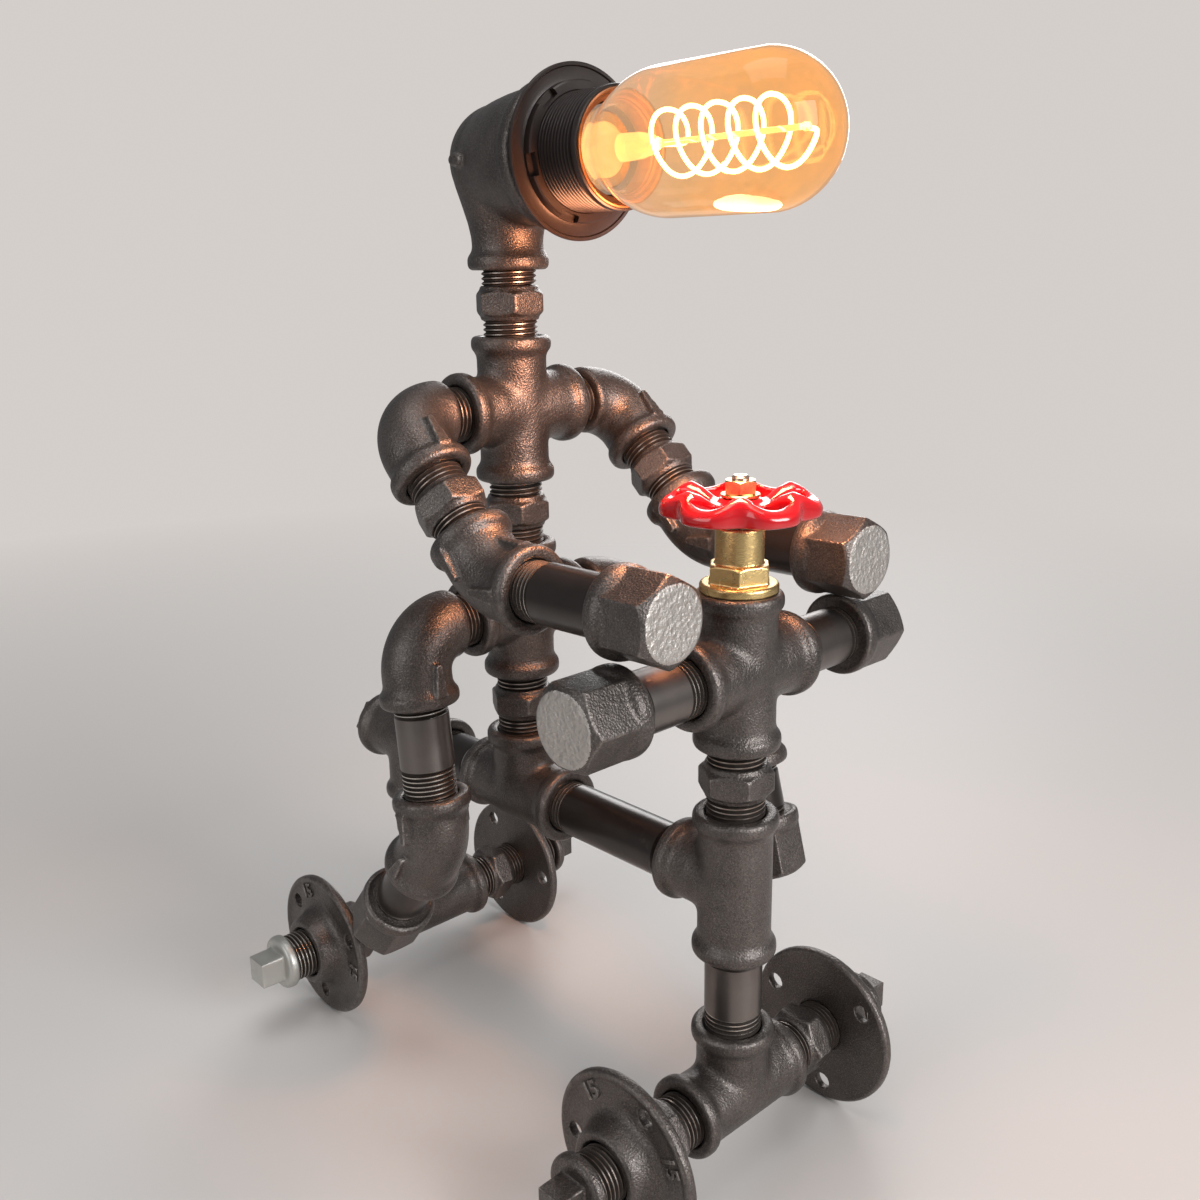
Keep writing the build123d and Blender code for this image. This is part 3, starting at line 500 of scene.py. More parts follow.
# ---------------------------------------------------------------- shader helpers
class Wire:
    """A shader socket that Python's arithmetic works on."""

    def __init__(self, finish, socket):
        self.finish = finish
        self.socket = socket

    def math(self, operation, *values):
        """Result of a Math node."""
        return self.finish.add("ShaderNodeMath", {"operation": operation}, values)

    def __add__(self, other):
        return self.math("ADD", self, other)

    __radd__ = __add__

    def __sub__(self, other):
        return self.math("SUBTRACT", self, other)

    def __rsub__(self, other):
        return self.math("SUBTRACT", other, self)

    def __mul__(self, other):
        return self.math("MULTIPLY", self, other)

    __rmul__ = __mul__

    def between(self, low, high):
        """0 below low, 1 above high, and even in between."""
        return self.finish.add("ShaderNodeMapRange", {"clamp": True}, (self, low, high, 0.0, 1.0))


class Finish:
    """A material under construction, with its Principled shader."""

    def __init__(self, name):
        self.material = bpy.data.materials.new(name)
        self.material.use_nodes = True
        self.tree = self.material.node_tree
        self.shader = self.tree.nodes["Principled BSDF"]
        self.place = self.add("ShaderNodeTexCoord", output="Object")

    def add(self, kind, settings=None, values=(), output=0):
        """Node of a kind: its settings are set first, then its sockets. Gives one output."""
        node = self.tree.nodes.new(kind)
        for name, value in (settings or {}).items():
            setattr(node, name, value)
        named = values.items() if isinstance(values, dict) else enumerate(values)
        for key, value in named:
            self.feed(node.inputs[key], value)
        return Wire(self, node.outputs[output])

    def feed(self, socket, value):
        """Set a socket, or link a wire to it."""
        if isinstance(value, Wire):
            self.tree.links.new(value.socket, socket)
        elif hasattr(socket.default_value, "__len__") and len(socket.default_value) == 4:
            socket.default_value = (*value[:3], 1)
        else:
            socket.default_value = value

    def noise(self, scale, detail=3.0, roughness=0.5, place=None):
        """Noise with cells of about 1 / scale metres."""
        return self.add("ShaderNodeTexNoise", {}, {
            "Vector": place or self.place, "Scale": scale, "Detail": detail,
            "Roughness": roughness}, "Fac")

    def cells(self, scale, output="Distance"):
        """Voronoi cells of about 1 / scale metres."""
        return self.add("ShaderNodeTexVoronoi", {}, {"Vector": self.place, "Scale": scale}, output)

    def stretched(self, x, y, z):
        """Object coordinates scaled unevenly."""
        return self.add("ShaderNodeMapping", {}, {"Vector": self.place, "Scale": (x, y, z)})

    def blend(self, factor, first, second):
        """Mix of two colours."""
        return self.add("ShaderNodeMix", {"data_type": "RGBA"}, {0: factor, 6: first, 7: second}, 2)

    def bump(self, height, strength, distance, normal=None):
        """Bumped normal."""
        values = {"Height": height, "Strength": strength, "Distance": distance}
        if normal is not None:
            values["Normal"] = normal
        return self.add("ShaderNodeBump", {}, values, "Normal")

    def surface(self, **values):
        """Feed the Principled shader. Underscores in the names stand for spaces."""
        for name, value in values.items():
            self.feed(self.shader.inputs[name.replace("_", " ")], value)
        return self.material


FINISHES = {}


def finish(name):
    """A finish by name, made the first time that it is asked for."""
    if name not in FINISHES:
        FINISHES[name] = MAKERS[name](bpy.context.scene.pipe_lamp_colours)
    return FINISHES[name]


def blackened_casting(colours):
    """Coarse sand-cast iron under a dark lacquer, with grains; the bright specks in its colour are painted glints.
    """
    made = Finish("Blackened casting")
    patches = made.noise(60, 4)
    grain = made.noise(1500, 3, 0.6)
    pebbles = made.cells(1250)
    # painted glints: bright specks where the grains would catch the softboxes; they are also glossier
    painted_glints = made.noise(2600, 1).between(0.62, 0.72)
    edges = made.add("ShaderNodeNewGeometry", output="Pointiness").between(0.515, 0.56)
    worn = edges * made.noise(400, 3).between(0.38, 0.62)
    tone = (patches * 0.45 + grain * 0.75 - 0.1).between(0.2, 0.8)
    shade = made.blend(tone, colours.casting_dark, colours.casting_light)
    # painted glints: the specks take the pale grey colour
    shade = made.blend(painted_glints * 0.35, shade, colours.casting_worn)
    shade = made.blend(worn * 0.75, shade, colours.casting_worn)
    rough = 0.36 + patches * 0.14 - painted_glints * 0.1 - worn * 0.08
    normal = made.bump(grain * 0.6 + pebbles * 0.55, 0.5, 0.0005)
    normal = made.bump(made.noise(170, 2), 0.4, 0.0009, normal)
    return made.surface(Base_Color=shade, Metallic=0.8, Roughness=rough, Normal=normal, Coat_Weight=0.18,
                        Coat_Roughness=0.3)


def painted_end_highlight(colours):
    """Same iron on the broad ends of the caps, coarser, with its pale colour a painted highlight of the front
    softbox.
    """
    made = Finish("Bare casting")
    grain = made.noise(700, 3, 0.65)
    tone = (made.noise(90, 3) * 0.5 + grain * 0.6).between(0.3, 0.8)
    # pale grey colour: painted highlight where the broad end faces the front softbox
    shade = made.blend(tone, colours.casting_worn, (0.56, 0.53, 0.50))
    normal = made.bump(grain + made.cells(520) * 0.6, 0.6, 0.0009)
    return made.surface(Base_Color=shade, Metallic=0.9, Roughness=0.4 + grain * 0.15, Normal=normal)


def lacquered_pipe(colours):
    """Drawn steel pipe under a smooth dark lacquer."""
    made = Finish("Lacquered pipe")
    cloud = made.noise(70, 4)
    fine = made.noise(1500, 2)
    scuffs = made.noise(35, 6, 0.7).between(0.62, 0.75)
    shade = made.blend(cloud, colours.pipe, colours.casting_dark)
    shade = made.blend(scuffs * 0.3, shade, colours.casting_light)
    rough = 0.24 + cloud * 0.14 + scuffs * 0.12
    normal = made.bump(fine, 0.12, 0.0002)
    normal = made.bump(cloud, 0.2, 0.0006, normal)
    return made.surface(Base_Color=shade, Metallic=0.75, Roughness=rough, Normal=normal, Coat_Weight=0.35,
                        Coat_Roughness=0.2)


def satin_pipe(colours):
    """Drawn steel pipe that lost most of its lacquer."""
    made = Finish("Satin pipe")
    cloud = made.noise(90, 5, 0.6)
    stain = made.noise(40, 4).between(0.45, 0.7)
    shade = made.blend(cloud, colours.satin, colours.casting_light)
    shade = made.blend(stain * 0.5, shade, colours.pipe)
    normal = made.bump(made.noise(1500, 2), 0.15, 0.0002)
    return made.surface(Base_Color=shade, Metallic=0.95, Roughness=0.27 + cloud * 0.14, Normal=normal)


def cut_thread(colours):
    """Bright crests of a thread that was cut through the lacquer."""
    made = Finish("Cut thread")
    stain = made.noise(220, 4).between(0.45, 0.75)
    shade = made.blend(stain * 0.6, colours.thread, colours.casting_light)
    normal = made.bump(made.noise(1800, 2), 0.2, 0.0002)
    return made.surface(Base_Color=shade, Metallic=1.0, Roughness=0.26 + stain * 0.2, Normal=normal)


def lacquered_thread(colours):
    """Crests of a thread that kept most of its lacquer."""
    made = Finish("Lacquered thread")
    rubbed = made.noise(240, 4).between(0.42, 0.7)
    shade = made.blend(rubbed, colours.dark_thread, colours.casting_worn)
    normal = made.bump(made.noise(1800, 2), 0.25, 0.0002)
    return made.surface(Base_Color=shade, Metallic=0.95, Roughness=0.3 + rubbed * 0.1, Normal=normal)


def thread_groove(colours):
    """Grooves of a thread, with oil and dust in them."""
    made = Finish("Thread groove")
    dirt = made.noise(500, 3)
    shade = made.blend(dirt, colours.casting_dark, colours.groove)
    return made.surface(Base_Color=shade, Metallic=0.7, Roughness=0.42 + dirt * 0.2)


def galvanised(colours):
    """Hot-dip zinc with faint spangles."""
    made = Finish("Galvanised")
    spangle = made.cells(260, "Color")
    cloud = made.noise(150, 4)
    shade = made.blend(cloud * 0.6, colours.zinc, colours.casting_worn)
    normal = made.bump(cloud + made.noise(900, 2) * 0.4, 0.35, 0.0005)
    rough = 0.36 + spangle * 0.18
    return made.surface(Base_Color=shade, Metallic=0.9, Roughness=rough, Normal=normal)


def cast_brass(colours):
    """Blasted cast brass that glitters."""
    made = Finish("Cast brass")
    glitter = made.noise(2400, 2, 0.6)
    stain = made.noise(120, 4).between(0.5, 0.8)
    shade = made.blend(stain * 0.5, colours.brass, (0.42, 0.26, 0.11))
    normal = made.bump(glitter, 0.4, 0.0003)
    return made.surface(Base_Color=shade, Metallic=1.0, Roughness=0.27 + stain * 0.15, Normal=normal)


def turned_brass(colours):
    """Smooth brass of the nut, washer and contacts."""
    made = Finish("Turned brass")
    stain = made.noise(260, 4)
    shade = made.blend(stain * 0.5, colours.brass, (0.62, 0.36, 0.17))
    return made.surface(Base_Color=shade, Metallic=1.0, Roughness=0.18 + stain * 0.12)


def bright_steel(colours):
    """Ground steel of the stem."""
    made = Finish("Ground steel")
    line = made.noise(1600, 2, 0.5, made.stretched(0.2, 0.2, 4))
    shade = made.blend(line, colours.zinc, colours.thread)
    return made.surface(Base_Color=shade, Metallic=1.0, Roughness=0.22 + line * 0.1)


def red_enamel(colours):
    """Thick glossy red enamel."""
    made = Finish("Red enamel")
    orange_peel = made.noise(240, 2)
    shade = made.blend(made.noise(50, 3) * 0.35, colours.enamel, (0.40, 0.002, 0.006))
    normal = made.bump(orange_peel, 0.12, 0.0006)
    rough = 0.16 + orange_peel * 0.08
    return made.surface(Base_Color=shade, Metallic=0.0, Roughness=rough, Normal=normal, Coat_Weight=1.0,
                        Coat_Roughness=0.04)


def moulded_holder(colours):
    """Dark brown moulding with a satin skin."""
    made = Finish("Brown moulding")
    cloud = made.noise(120, 4)
    shade = made.blend(cloud * 0.5, colours.holder, (0.040, 0.024, 0.019))
    normal = made.bump(made.noise(1400, 2), 0.1, 0.0002)
    return made.surface(Base_Color=shade, Metallic=0.25, Roughness=0.3 + cloud * 0.16, Normal=normal,
                        Coat_Weight=0.25, Coat_Roughness=0.25)


def copper_lining(colours):
    """Copper lining of the lampholder's mouth."""
    made = Finish("Copper lining")
    stain = made.noise(200, 4)
    shade = made.blend(stain * 0.6, colours.copper, (0.14, 0.055, 0.03))
    return made.surface(Base_Color=shade, Metallic=1.0, Roughness=0.3 + stain * 0.16)


def amber_glass(colours):
    """Blown amber glass with a painted warm glow: its emission stands in for the filament's light seen in the
    glass.
    """
    made = Finish("Amber glass")
    swirl = made.noise(60, 7, 0.75).between(0.3, 0.75)
    forward = made.add("ShaderNodeSeparateXYZ", {}, (made.place,), "Y") * -1.0
    # warmth rises towards the tip; it tints the glass amber and brightens the painted glow
    warmth = forward.between(0.040, 0.095)
    # emission colour: painted glow, dim near the neck and amber towards the tip
    amber = made.blend(swirl, (0.125, 0.070, 0.030), (0.25, 0.105, 0.026))
    glow = made.blend(warmth, (0.115, 0.085, 0.065), amber)
    tint = made.blend(warmth, colours.clear, colours.glass)
    normal = made.bump(made.noise(60, 2), 0.08, 0.001)
    return made.surface(Base_Color=tint, Roughness=0.02, IOR=1.25, Transmission_Weight=1.0,
                        Normal=normal, Emission_Color=glow, Emission_Strength=1.0)


def clear_glass(colours):
    """Clear glass of the stem inside the bulb, with a painted glow: its emission stands in for the filament's
    light on it.
    """
    made = Finish("Lit glass")
    swirl = made.noise(300, 3)
    # emission colour: painted glow of the stem
    glow = made.blend(swirl, colours.glow, (1.0, 0.75, 0.35))
    return made.surface(Base_Color=(0.95, 0.86, 0.7), Roughness=0.08, IOR=1.3, Transmission_Weight=0.8,
                        Emission_Color=glow, Emission_Strength=0.5)


def hot_wire(colours):
    """Glowing filament."""
    made = Finish("Hot wire")
    pulse = made.noise(900, 2)
    glow = made.blend(pulse, (1.0, 0.60, 0.16), (1.0, 0.78, 0.32))
    return made.surface(Base_Color=(0.9, 0.6, 0.3), Roughness=0.5, Emission_Color=glow,
                        Emission_Strength=9.0)


def insulator(colours):
    """Dull moulded insulator."""
    made = Finish("Insulator")
    speck = made.noise(900, 3)
    shade = made.blend(speck, (0.045, 0.040, 0.036), (0.085, 0.078, 0.070))
    return made.surface(Base_Color=shade, Roughness=0.55 + speck * 0.15)


def flex_sheath(colours):
    """Matt black sheath of the flex."""
    made = Finish("Flex sheath")
    speck = made.noise(1200, 2)
    shade = made.blend(speck, (0.020, 0.019, 0.018), (0.045, 0.043, 0.041))
    return made.surface(Base_Color=shade, Roughness=0.6 + speck * 0.1)


MAKERS = {
    "casting": blackened_casting,
    "bare": painted_end_highlight,
    "pipe": lacquered_pipe,
    "satin pipe": satin_pipe,
    "thread": cut_thread,
    "dark thread": lacquered_thread,
    "groove": thread_groove,
    "zinc": galvanised,
    "cast brass": cast_brass,
    "brass": turned_brass,
    "steel": bright_steel,
    "enamel": red_enamel,
    "holder": moulded_holder,
    "copper": copper_lining,
    "glass": amber_glass,
    "lit glass": clear_glass,
    "hot wire": hot_wire,
    "insulator": insulator,
    "flex": flex_sheath,
}
THREADED = ("thread", "groove")
LACQUERED = ("dark thread", "groove")


def finishes(*names):
    """Several finishes by name."""
    return [finish(name) for name in names]


# ---------------------------------------------------------------- shapes of the fittings
def port_outline(fit, face, body=None):
    """Outside and recess of a beaded port, from its body to the axis inside its recess."""
    body = body or fit.body
    back = face - fit.bead_width
    rise = fit.bead - body
    return [
        (body, back - 3.2), (body + 0.12 * rise, back - 1.7), (body + 0.45 * rise, back - 0.5),
        (fit.bead - 0.35, back + 0.4), (fit.bead, back + 1.4), (fit.bead, face - 1.9),
        (fit.bead - 0.4, face - 0.7), (fit.bead - 1.5, face), (fit.socket + 0.5, face),
        (fit.socket, face - 0.6), (fit.socket - 0.5, face - 3), (fit.socket - 0.5, face - 6),
        (0, face - 6)]


def port(shape, fit, face, place, start=-2.0, body=None):
    """One beaded port along +Z."""
    body = body or fit.body
    lathe(shape, [(0, start), (body, start)] + port_outline(fit, face, body), place)


def web_vertices(shape, ways, fit):
    """Vertices near the line where two ports of a fitting meet."""
    reach = fit.body + fit.web
    found = []
    for vertex in shape.verts:
        near = 0
        for way in ways:
            along = vertex.co.dot(way)
            if along > 0 and (vertex.co - way * along).length < reach:
                near += 1
        if near >= 2 and vertex.co.length > fit.body * 0.9:
            found.append(vertex)
    return found


def branched_casting(fit, ways):
    """Tee or cross with a beaded port in each direction."""
    shape = bmesh.new()
    for way in ways:
        port(shape, fit, fit.centre_to_face, aim((0, 0, 0), way))
    cast(shape, fit.grain, 1)
    soften(shape, WEB_ROUNDS, web_vertices(shape, ways, fit))
    soften(shape, 1)
    return shape


def bent_tube(shape, radius, bend, turn_degrees, steps=28):
    """Closed torus segment that turns from +Z towards +X about the fitting's centre."""
    reach = bend * tan(radians(turn_degrees) / 2)
    before = set(shape.verts)
    bmesh.ops.create_circle(
        shape, cap_ends=False, segments=64, radius=radius,
        matrix=Matrix.Translation((0, 0, -reach)))
    added = new_vertices(shape, before)
    bmesh.ops.spin(
        shape, geom=added + linked(added, "link_edges"), cent=(bend, 0, -reach), axis=(0, 1, 0), dvec=(0, 0, 0),
        angle=radians(turn_degrees), steps=steps, use_merge=False, use_duplicate=False)
    close_shell(shape, new_vertices(shape, before))


def ribs(shape, fit, face, place, turns):
    """Wedge-shaped cast ribs that run up to the bead of a port, at some angles round it."""
    root = face - fit.bead_width + 0.8
    for turn in turns:
        made = bmesh.ops.create_cube(shape, size=1.0)
        for vertex in made["verts"]:
            tip = vertex.co.z < 0
            top = vertex.co.x > 0
            vertex.co = Vector((
                fit.body + (fit.rib_rise if top else -2.5),
                vertex.co.y * (fit.rib_tip if tip else fit.rib_root),
                root - (fit.rib_length if tip else 0)))
        bmesh.ops.recalc_face_normals(shape, faces=linked(made["verts"], "link_faces"))
        bmesh.ops.transform(shape, matrix=place @ about("Z", turn), verts=made["verts"])


def elbow_casting(fit, face, bend, turn_degrees):
    """Elbow with two beaded ports, from -Z to the direction that lies turn_degrees from +Z."""
    shape = bmesh.new()
    reach = bend * tan(radians(turn_degrees) / 2)
    outlet = about("Y", turn_degrees)
    bent_tube(shape, fit.body, bend, turn_degrees)
    port(shape, fit, face, about("X", 180), reach - 1)
    port(shape, fit, face, outlet, reach - 1)
    ribs(shape, fit, face, outlet, (0, 90, 270))
    ribs(shape, fit, face, about("X", 180), (90, 270))
    cast(shape, fit.grain)
    return shape


def street_casting(fit, thread):
    """90 degree elbow with one male end, which points along -Z."""
    shape = bmesh.new()
    outlet = about("Y", 90)
    shoulder = fit.street_reach - fit.street_thread
    bent_tube(shape, fit.body, fit.bend, 90)
    port(shape, fit, fit.centre_to_face, outlet, fit.bend - 1)
    ribs(shape, fit, fit.centre_to_face, outlet, (90, 270))
    lathe(shape, [
        (0, fit.bend - 1), (fit.body, fit.bend - 1), (fit.body - 0.1, shoulder - 1.6),
        (fit.body - 0.9, shoulder - 0.4), (thread.crest + 0.6, shoulder), (0, shoulder)], about("X", 180))
    cast(shape, fit.grain)
    threads(shape, thread, shoulder - 0.4, fit.street_reach + THREAD_SINK, about("X", 180))
    return shape


def threads(shape, thread, low, high, place=Matrix.Identity(4)):
    """Helical thread about Z between two heights. Its crests are material 1, its flanks material 2."""
    pitch = thread.pitch
    turns = int((high - low) / pitch) + 1
    outline = []
    for index in range(turns):
        base = low + index * pitch
        outline += [
            (thread.root, base), (thread.root, base + 0.12 * pitch),
            (thread.crest, base + 0.44 * pitch), (thread.crest, base + 0.66 * pitch)]
    added = spin(shape, outline, 72, lift=pitch)
    mid = (thread.root + thread.crest) / 2
    for face in linked(added, "link_faces"):
        crest = all(hypot(vertex.co.x, vertex.co.y) > mid for vertex in face.verts)
        face.material_index = 1 if crest else 2
    close_shell(shape, added, place)


def hex_nipple_shape(thread, gap):
    """Hex nipple along +Z from one face to the next, a gap away."""
    corner = hex_radius(thread.hex_flats)
    low, high = (gap - thread.hex_width) / 2, (gap + thread.hex_width) / 2
    shape = turned_hexagon(thread.hex_flats, low, high, [
        (0, low), (corner - 2.0, low), (corner, low + 1.3), (corner, high - 1.3),
        (corner - 2.0, high), (0, high)])
    lathe(shape, [
        (0, low - 2.0), (thread.collar - 0.5, low - 2.0), (thread.collar, low - 1.4),
        (thread.collar, high + 1.4), (thread.collar - 0.5, high + 2.0), (0, high + 2.0)])
    cast(shape, TURNED_GRAIN)
    threads(shape, thread, -THREAD_SINK, low - 1.4)
    threads(shape, thread, high + 1.1, gap + THREAD_SINK)
    return shape


def pipe_shape(thread, gap, first_shown, last_shown):
    """Pipe nipple along +Z from one face to the next, with cut thread in view at each end."""
    shape = bmesh.new()
    run_out = 1.2
    low, high = first_shown, gap - last_shown
    lathe(shape, [
        (0, low - run_out), (thread.root - 0.2, low - run_out),
        (thread.root + 0.3, low - run_out * 0.6), (thread.pipe, low), (thread.pipe, high),
        (thread.root + 0.3, high + run_out * 0.6), (thread.root - 0.2, high + run_out),
        (0, high + run_out)])
    threads(shape, thread, -THREAD_SINK, low - 0.4)
    threads(shape, thread, high + 0.2, gap + THREAD_SINK)
    return shape


def cap_shape(cap, thread):
    """Hex cap: open face at the origin, closed end along +Z. The closed end is material 1, which takes the painted
    highlight.
    """
    corner = hex_radius(cap.flats)
    shape = turned_hexagon(cap.flats, cap.collar_width, cap.length, [
        (0, 0), (corner + 1, 0), (corner + 1, cap.length - cap.edge * 0.4),
        (corner - 0.2, cap.length - cap.edge), (corner - 1.5 * cap.edge, cap.length), (0, cap.length)])
    lathe(shape, [
        (cap.mouth, 0.3), (cap.mouth + 0.3, 0), (cap.collar - 1.4, 0), (cap.collar - 0.3, 0.5),
        (cap.collar, 1.6), (cap.collar, cap.collar_width - 0.6),
        (cap.collar - 0.7, cap.collar_width + 1.2), (cap.flats / 2 - 0.2, cap.collar_width + 3.2),
        (0, cap.collar_width + 3.2),
        (0, cap.recess), (thread.pipe + 0.15, cap.recess), (cap.mouth - 0.4, cap.recess - 0.6)])
    cast(shape, TURNED_GRAIN)
    # faces of the closed end get the finish with the painted highlight
    for face in shape.faces:
        if face.normal.z > 0.86 and face.calc_center_median().z > cap.length - 1.2:
            face.material_index = 1
    return shape


# ---------------------------------------------------------------- shapes of the wheels
def flange_shape(wheel, hole_angle, digits_angles):
    """Floor flange: flat face at the origin, boss along +Z, screw holes and a raised size number."""
    shape = bmesh.new()
    edge = wheel.radius
    plate = wheel.plate
    rim = plate + wheel.rim_rise
    boss, tip, top = wheel.boss, wheel.boss_tip, wheel.height
    lathe(shape, [
        (10.2, 0.4), (10.8, 0), (edge - 0.9, 0), (edge, 0.9), (edge, rim - 1.0), (edge - 0.8, rim),
        (edge - wheel.rim_width + 0.3, rim), (edge - wheel.rim_width - 0.8, plate),
        (boss + 4.6, plate), (boss + 2.4, plate + 0.7), (boss + 0.9, plate + 2.0),
        (boss, plate + 4.0), (tip + 0.3, top - 2.2), (tip, top - 1.2), (tip - 0.9, top - 0.2),
        (tip - 1.8, top), (11.9, top - 0.1), (11.0, top - 1.2), (10.7, top - 3.5)],
        steps=96, ring=True)
    for index in range(wheel.holes):
        turn = hole_angle + 360 / wheel.holes * index
        place = about("Z", turn) @ Matrix.Translation((wheel.hole_circle, 0, 0))
        drill = bmesh.new()
        prism(drill, wheel.hole, 32, -1, plate + 2, place)
        combine(shape, drill, "DIFFERENCE")
    cast(shape, TURNED_GRAIN)
    for digits_angle in digits_angles:
        shape_digits(shape, wheel, digits_angle)
    return shape


def shape_digits(shape, wheel, turn):
    """Raised nominal size on the plate of a flange."""
    curve = bpy.data.curves.new("digits", "FONT")
    curve.body = "15"
    curve.size = wheel.digits * 1.35
    curve.align_x = "CENTER"
    curve.align_y = "CENTER"
    curve.extrude = 0.55
    curve.bevel_depth = 0.3
    curve.bevel_resolution = 2
    curve.resolution_u = 6
    added = add_curve(shape, curve)
    bmesh.ops.remove_doubles(shape, verts=added, dist=0.005)
    lift = Matrix.Translation((wheel.hole_circle + 0.3, 0, wheel.plate - 0.1))
    bmesh.ops.transform(shape, matrix=about("Z", turn) @ lift @ about("Z", -90),
                        verts=[vertex for vertex in added if vertex.is_valid])


def plug_shape(wheel, thread, collar):
    """Square-head plug along +Z, from the face of the boss that it is screwed in."""
    shape = bmesh.new()
    low = wheel.plug_thread
    high = low + wheel.plug_collar_width
    lathe(shape, [
        (0, low), (collar - 1.0, low), (collar, low + 0.9), (collar, high - 1.8),
        (collar - 0.6, high - 0.6), (collar - 2.0, high), (0, high)])
    made = bmesh.ops.create_cube(shape, size=1.0)
    for vertex in made["verts"]:
        taper = 0.94 if vertex.co.z > 0 else 1.0
        vertex.co.x *= wheel.plug_square * taper
        vertex.co.y *= wheel.plug_square * taper
        vertex.co.z = high - 1 if vertex.co.z < 0 else high + wheel.plug_square_length
    cast(shape, PLUG_GRAIN, 3)
    threads(shape, thread, -3.5, low + 0.2)
    return shape


# ---------------------------------------------------------------- shapes of the head
def head_casting(head, fit):
    """Reducing elbow: small port along -Z, large port along -Y."""
    shape = bmesh.new()
    small = [
        (0, 0), (head.ball * 0.97, 0), (head.ball * 0.93, 8), (head.ball * 0.82, 15),
        (fit.body + 1.2, 22), (fit.body + 0.2, 27)]
    lathe(shape, small + port_outline(fit, head.drop, fit.body), about("X", 180))
    back = head.reach - head.bead_width
    lathe(shape, [
        (0, -2), (head.ball - 0.4, -2), (head.ball + 1.4, 7), (head.arm - 0.6, 14), (head.arm, 20),
        (head.arm, back - 3), (head.arm + 0.8, back - 1), (head.bead - 0.4, back + 0.4),
        (head.bead, back + 1.4), (head.bead, head.reach - 1.8), (head.bead - 0.5, head.reach - 0.6),
        (head.bead - 1.6, head.reach), (head.holder + 0.6, head.reach),
        (head.holder + 0.4, head.reach - 4), (0, head.reach - 4)], about("X", 90))
    bmesh.ops.create_uvsphere(shape, u_segments=48, v_segments=32, radius=head.ball)
    pip = aim((0, 0, 0), RIGHT, UP)
    lathe(shape, [
        (0, head.ball - 3), (3.4, head.ball - 3), (3.2, head.ball + 1.9), (2.6, head.ball + 2.5),
        (0, head.ball + 2.6)], pip @ Matrix.Diagonal((0.8, 1.3, 1, 1)))
    cast(shape, HEAD_GRAIN, 3)
    crotch = [vertex for vertex in shape.verts if -32 < vertex.co.y < -8 and -34 < vertex.co.z < -12]
    soften(shape, CROTCH_ROUNDS, crotch)
    return shape


def holder_shape(head):
    """Lampholder shell with its coarse outside thread, from the head's port to its mouth."""
    shape = bmesh.new()
    crest, root = head.holder - 0.05, head.holder - 1.0
    outline = [(0, head.reach - 5), (root, head.reach - 5)]
    start = head.ring_place + head.ring_width + head.nut_width - 1
    stop = head.mouth - head.skirt
    pitch = head.holder_pitch
    for index in range(int((stop - start) / pitch)):
        base = start + index * pitch
        outline += [(root, base), (crest, base + 0.3 * pitch), (crest, base + 0.62 * pitch),
                    (root, base + 0.9 * pitch)]
    outline += [
        (root, stop), (head.holder - 0.2, stop + 0.5), (head.holder + 0.1, stop + 1.0),
        (head.holder + 0.2, head.mouth - 1.0), (head.holder, head.mouth - 0.3),
        (head.holder - 0.6, head.mouth), (head.holder - 2.0, head.mouth - 0.2),
        (head.holder - 2.4, head.mouth - 1.2), (head.holder - 2.6, head.mouth - 14), (0, head.mouth - 14)]
    lathe(shape, outline, about("X", 90), steps=96)
    return shape


def lining_shape(head):
    """Copper edge of the lampholder's mouth and the stepped lining behind it."""
    shape = bmesh.new()
    outer, mouth = head.holder, head.mouth
    lathe(shape, [
        (outer - 0.9, mouth - 0.3), (outer - 0.9, mouth + 0.2), (outer - 1.5, mouth + 0.35),
        (outer - 2.2, mouth), (outer - 2.8, mouth - 1.4), (outer - 3.6, mouth - 1.8),
        (outer - 3.8, mouth - 2.6), (outer - 4.4, mouth - 3.0), (outer - 4.6, mouth - 9),
        (outer - 2.7, mouth - 9),
        (outer - 2.5, mouth - 1.3), (outer - 2.0, mouth - 0.3)], about("X", 90), steps=96, ring=True)
    return shape


def ring_shape(head):
    """Shade ring: dished disc behind a notched nut that runs on the outside thread."""
    shape = bmesh.new()
    bore = head.holder - 0.3
    back = head.ring_place
    disc = back + head.ring_width
    front = disc + head.nut_width
    rim, nut = head.ring, head.nut
    behind = disc - head.ring_rim
    lathe(shape, [
        (bore, back), (nut, back), (nut + 1.5, back + 0.4), (rim - 2.2, behind - 0.2),
        (rim - 0.5, behind), (rim, behind + 0.4), (rim, disc - 0.3), (rim - 0.4, disc),
        (rim - 1.2, disc - 0.1), (rim - 1.6, disc - 0.7), (nut + 1.2, disc - 1.1), (nut, disc - 0.9),
        (nut, front - 0.5), (nut - 0.5, front), (bore + 0.6, front), (bore, front - 0.5)],
        steps=120, ring=True)
    for index in range(head.notches):
        cutter = bmesh.new()
        place = about("Z", 360 / head.notches * index + 12) @ Matrix.Translation((nut, 0, front))
        bmesh.ops.create_cube(cutter, size=1.0, matrix=place @ Matrix.Diagonal((5.0, 7.5, 4.6, 1)))
        combine(shape, cutter, "DIFFERENCE")
    bmesh.ops.transform(shape, matrix=about("X", 90), verts=shape.verts)
    return shape


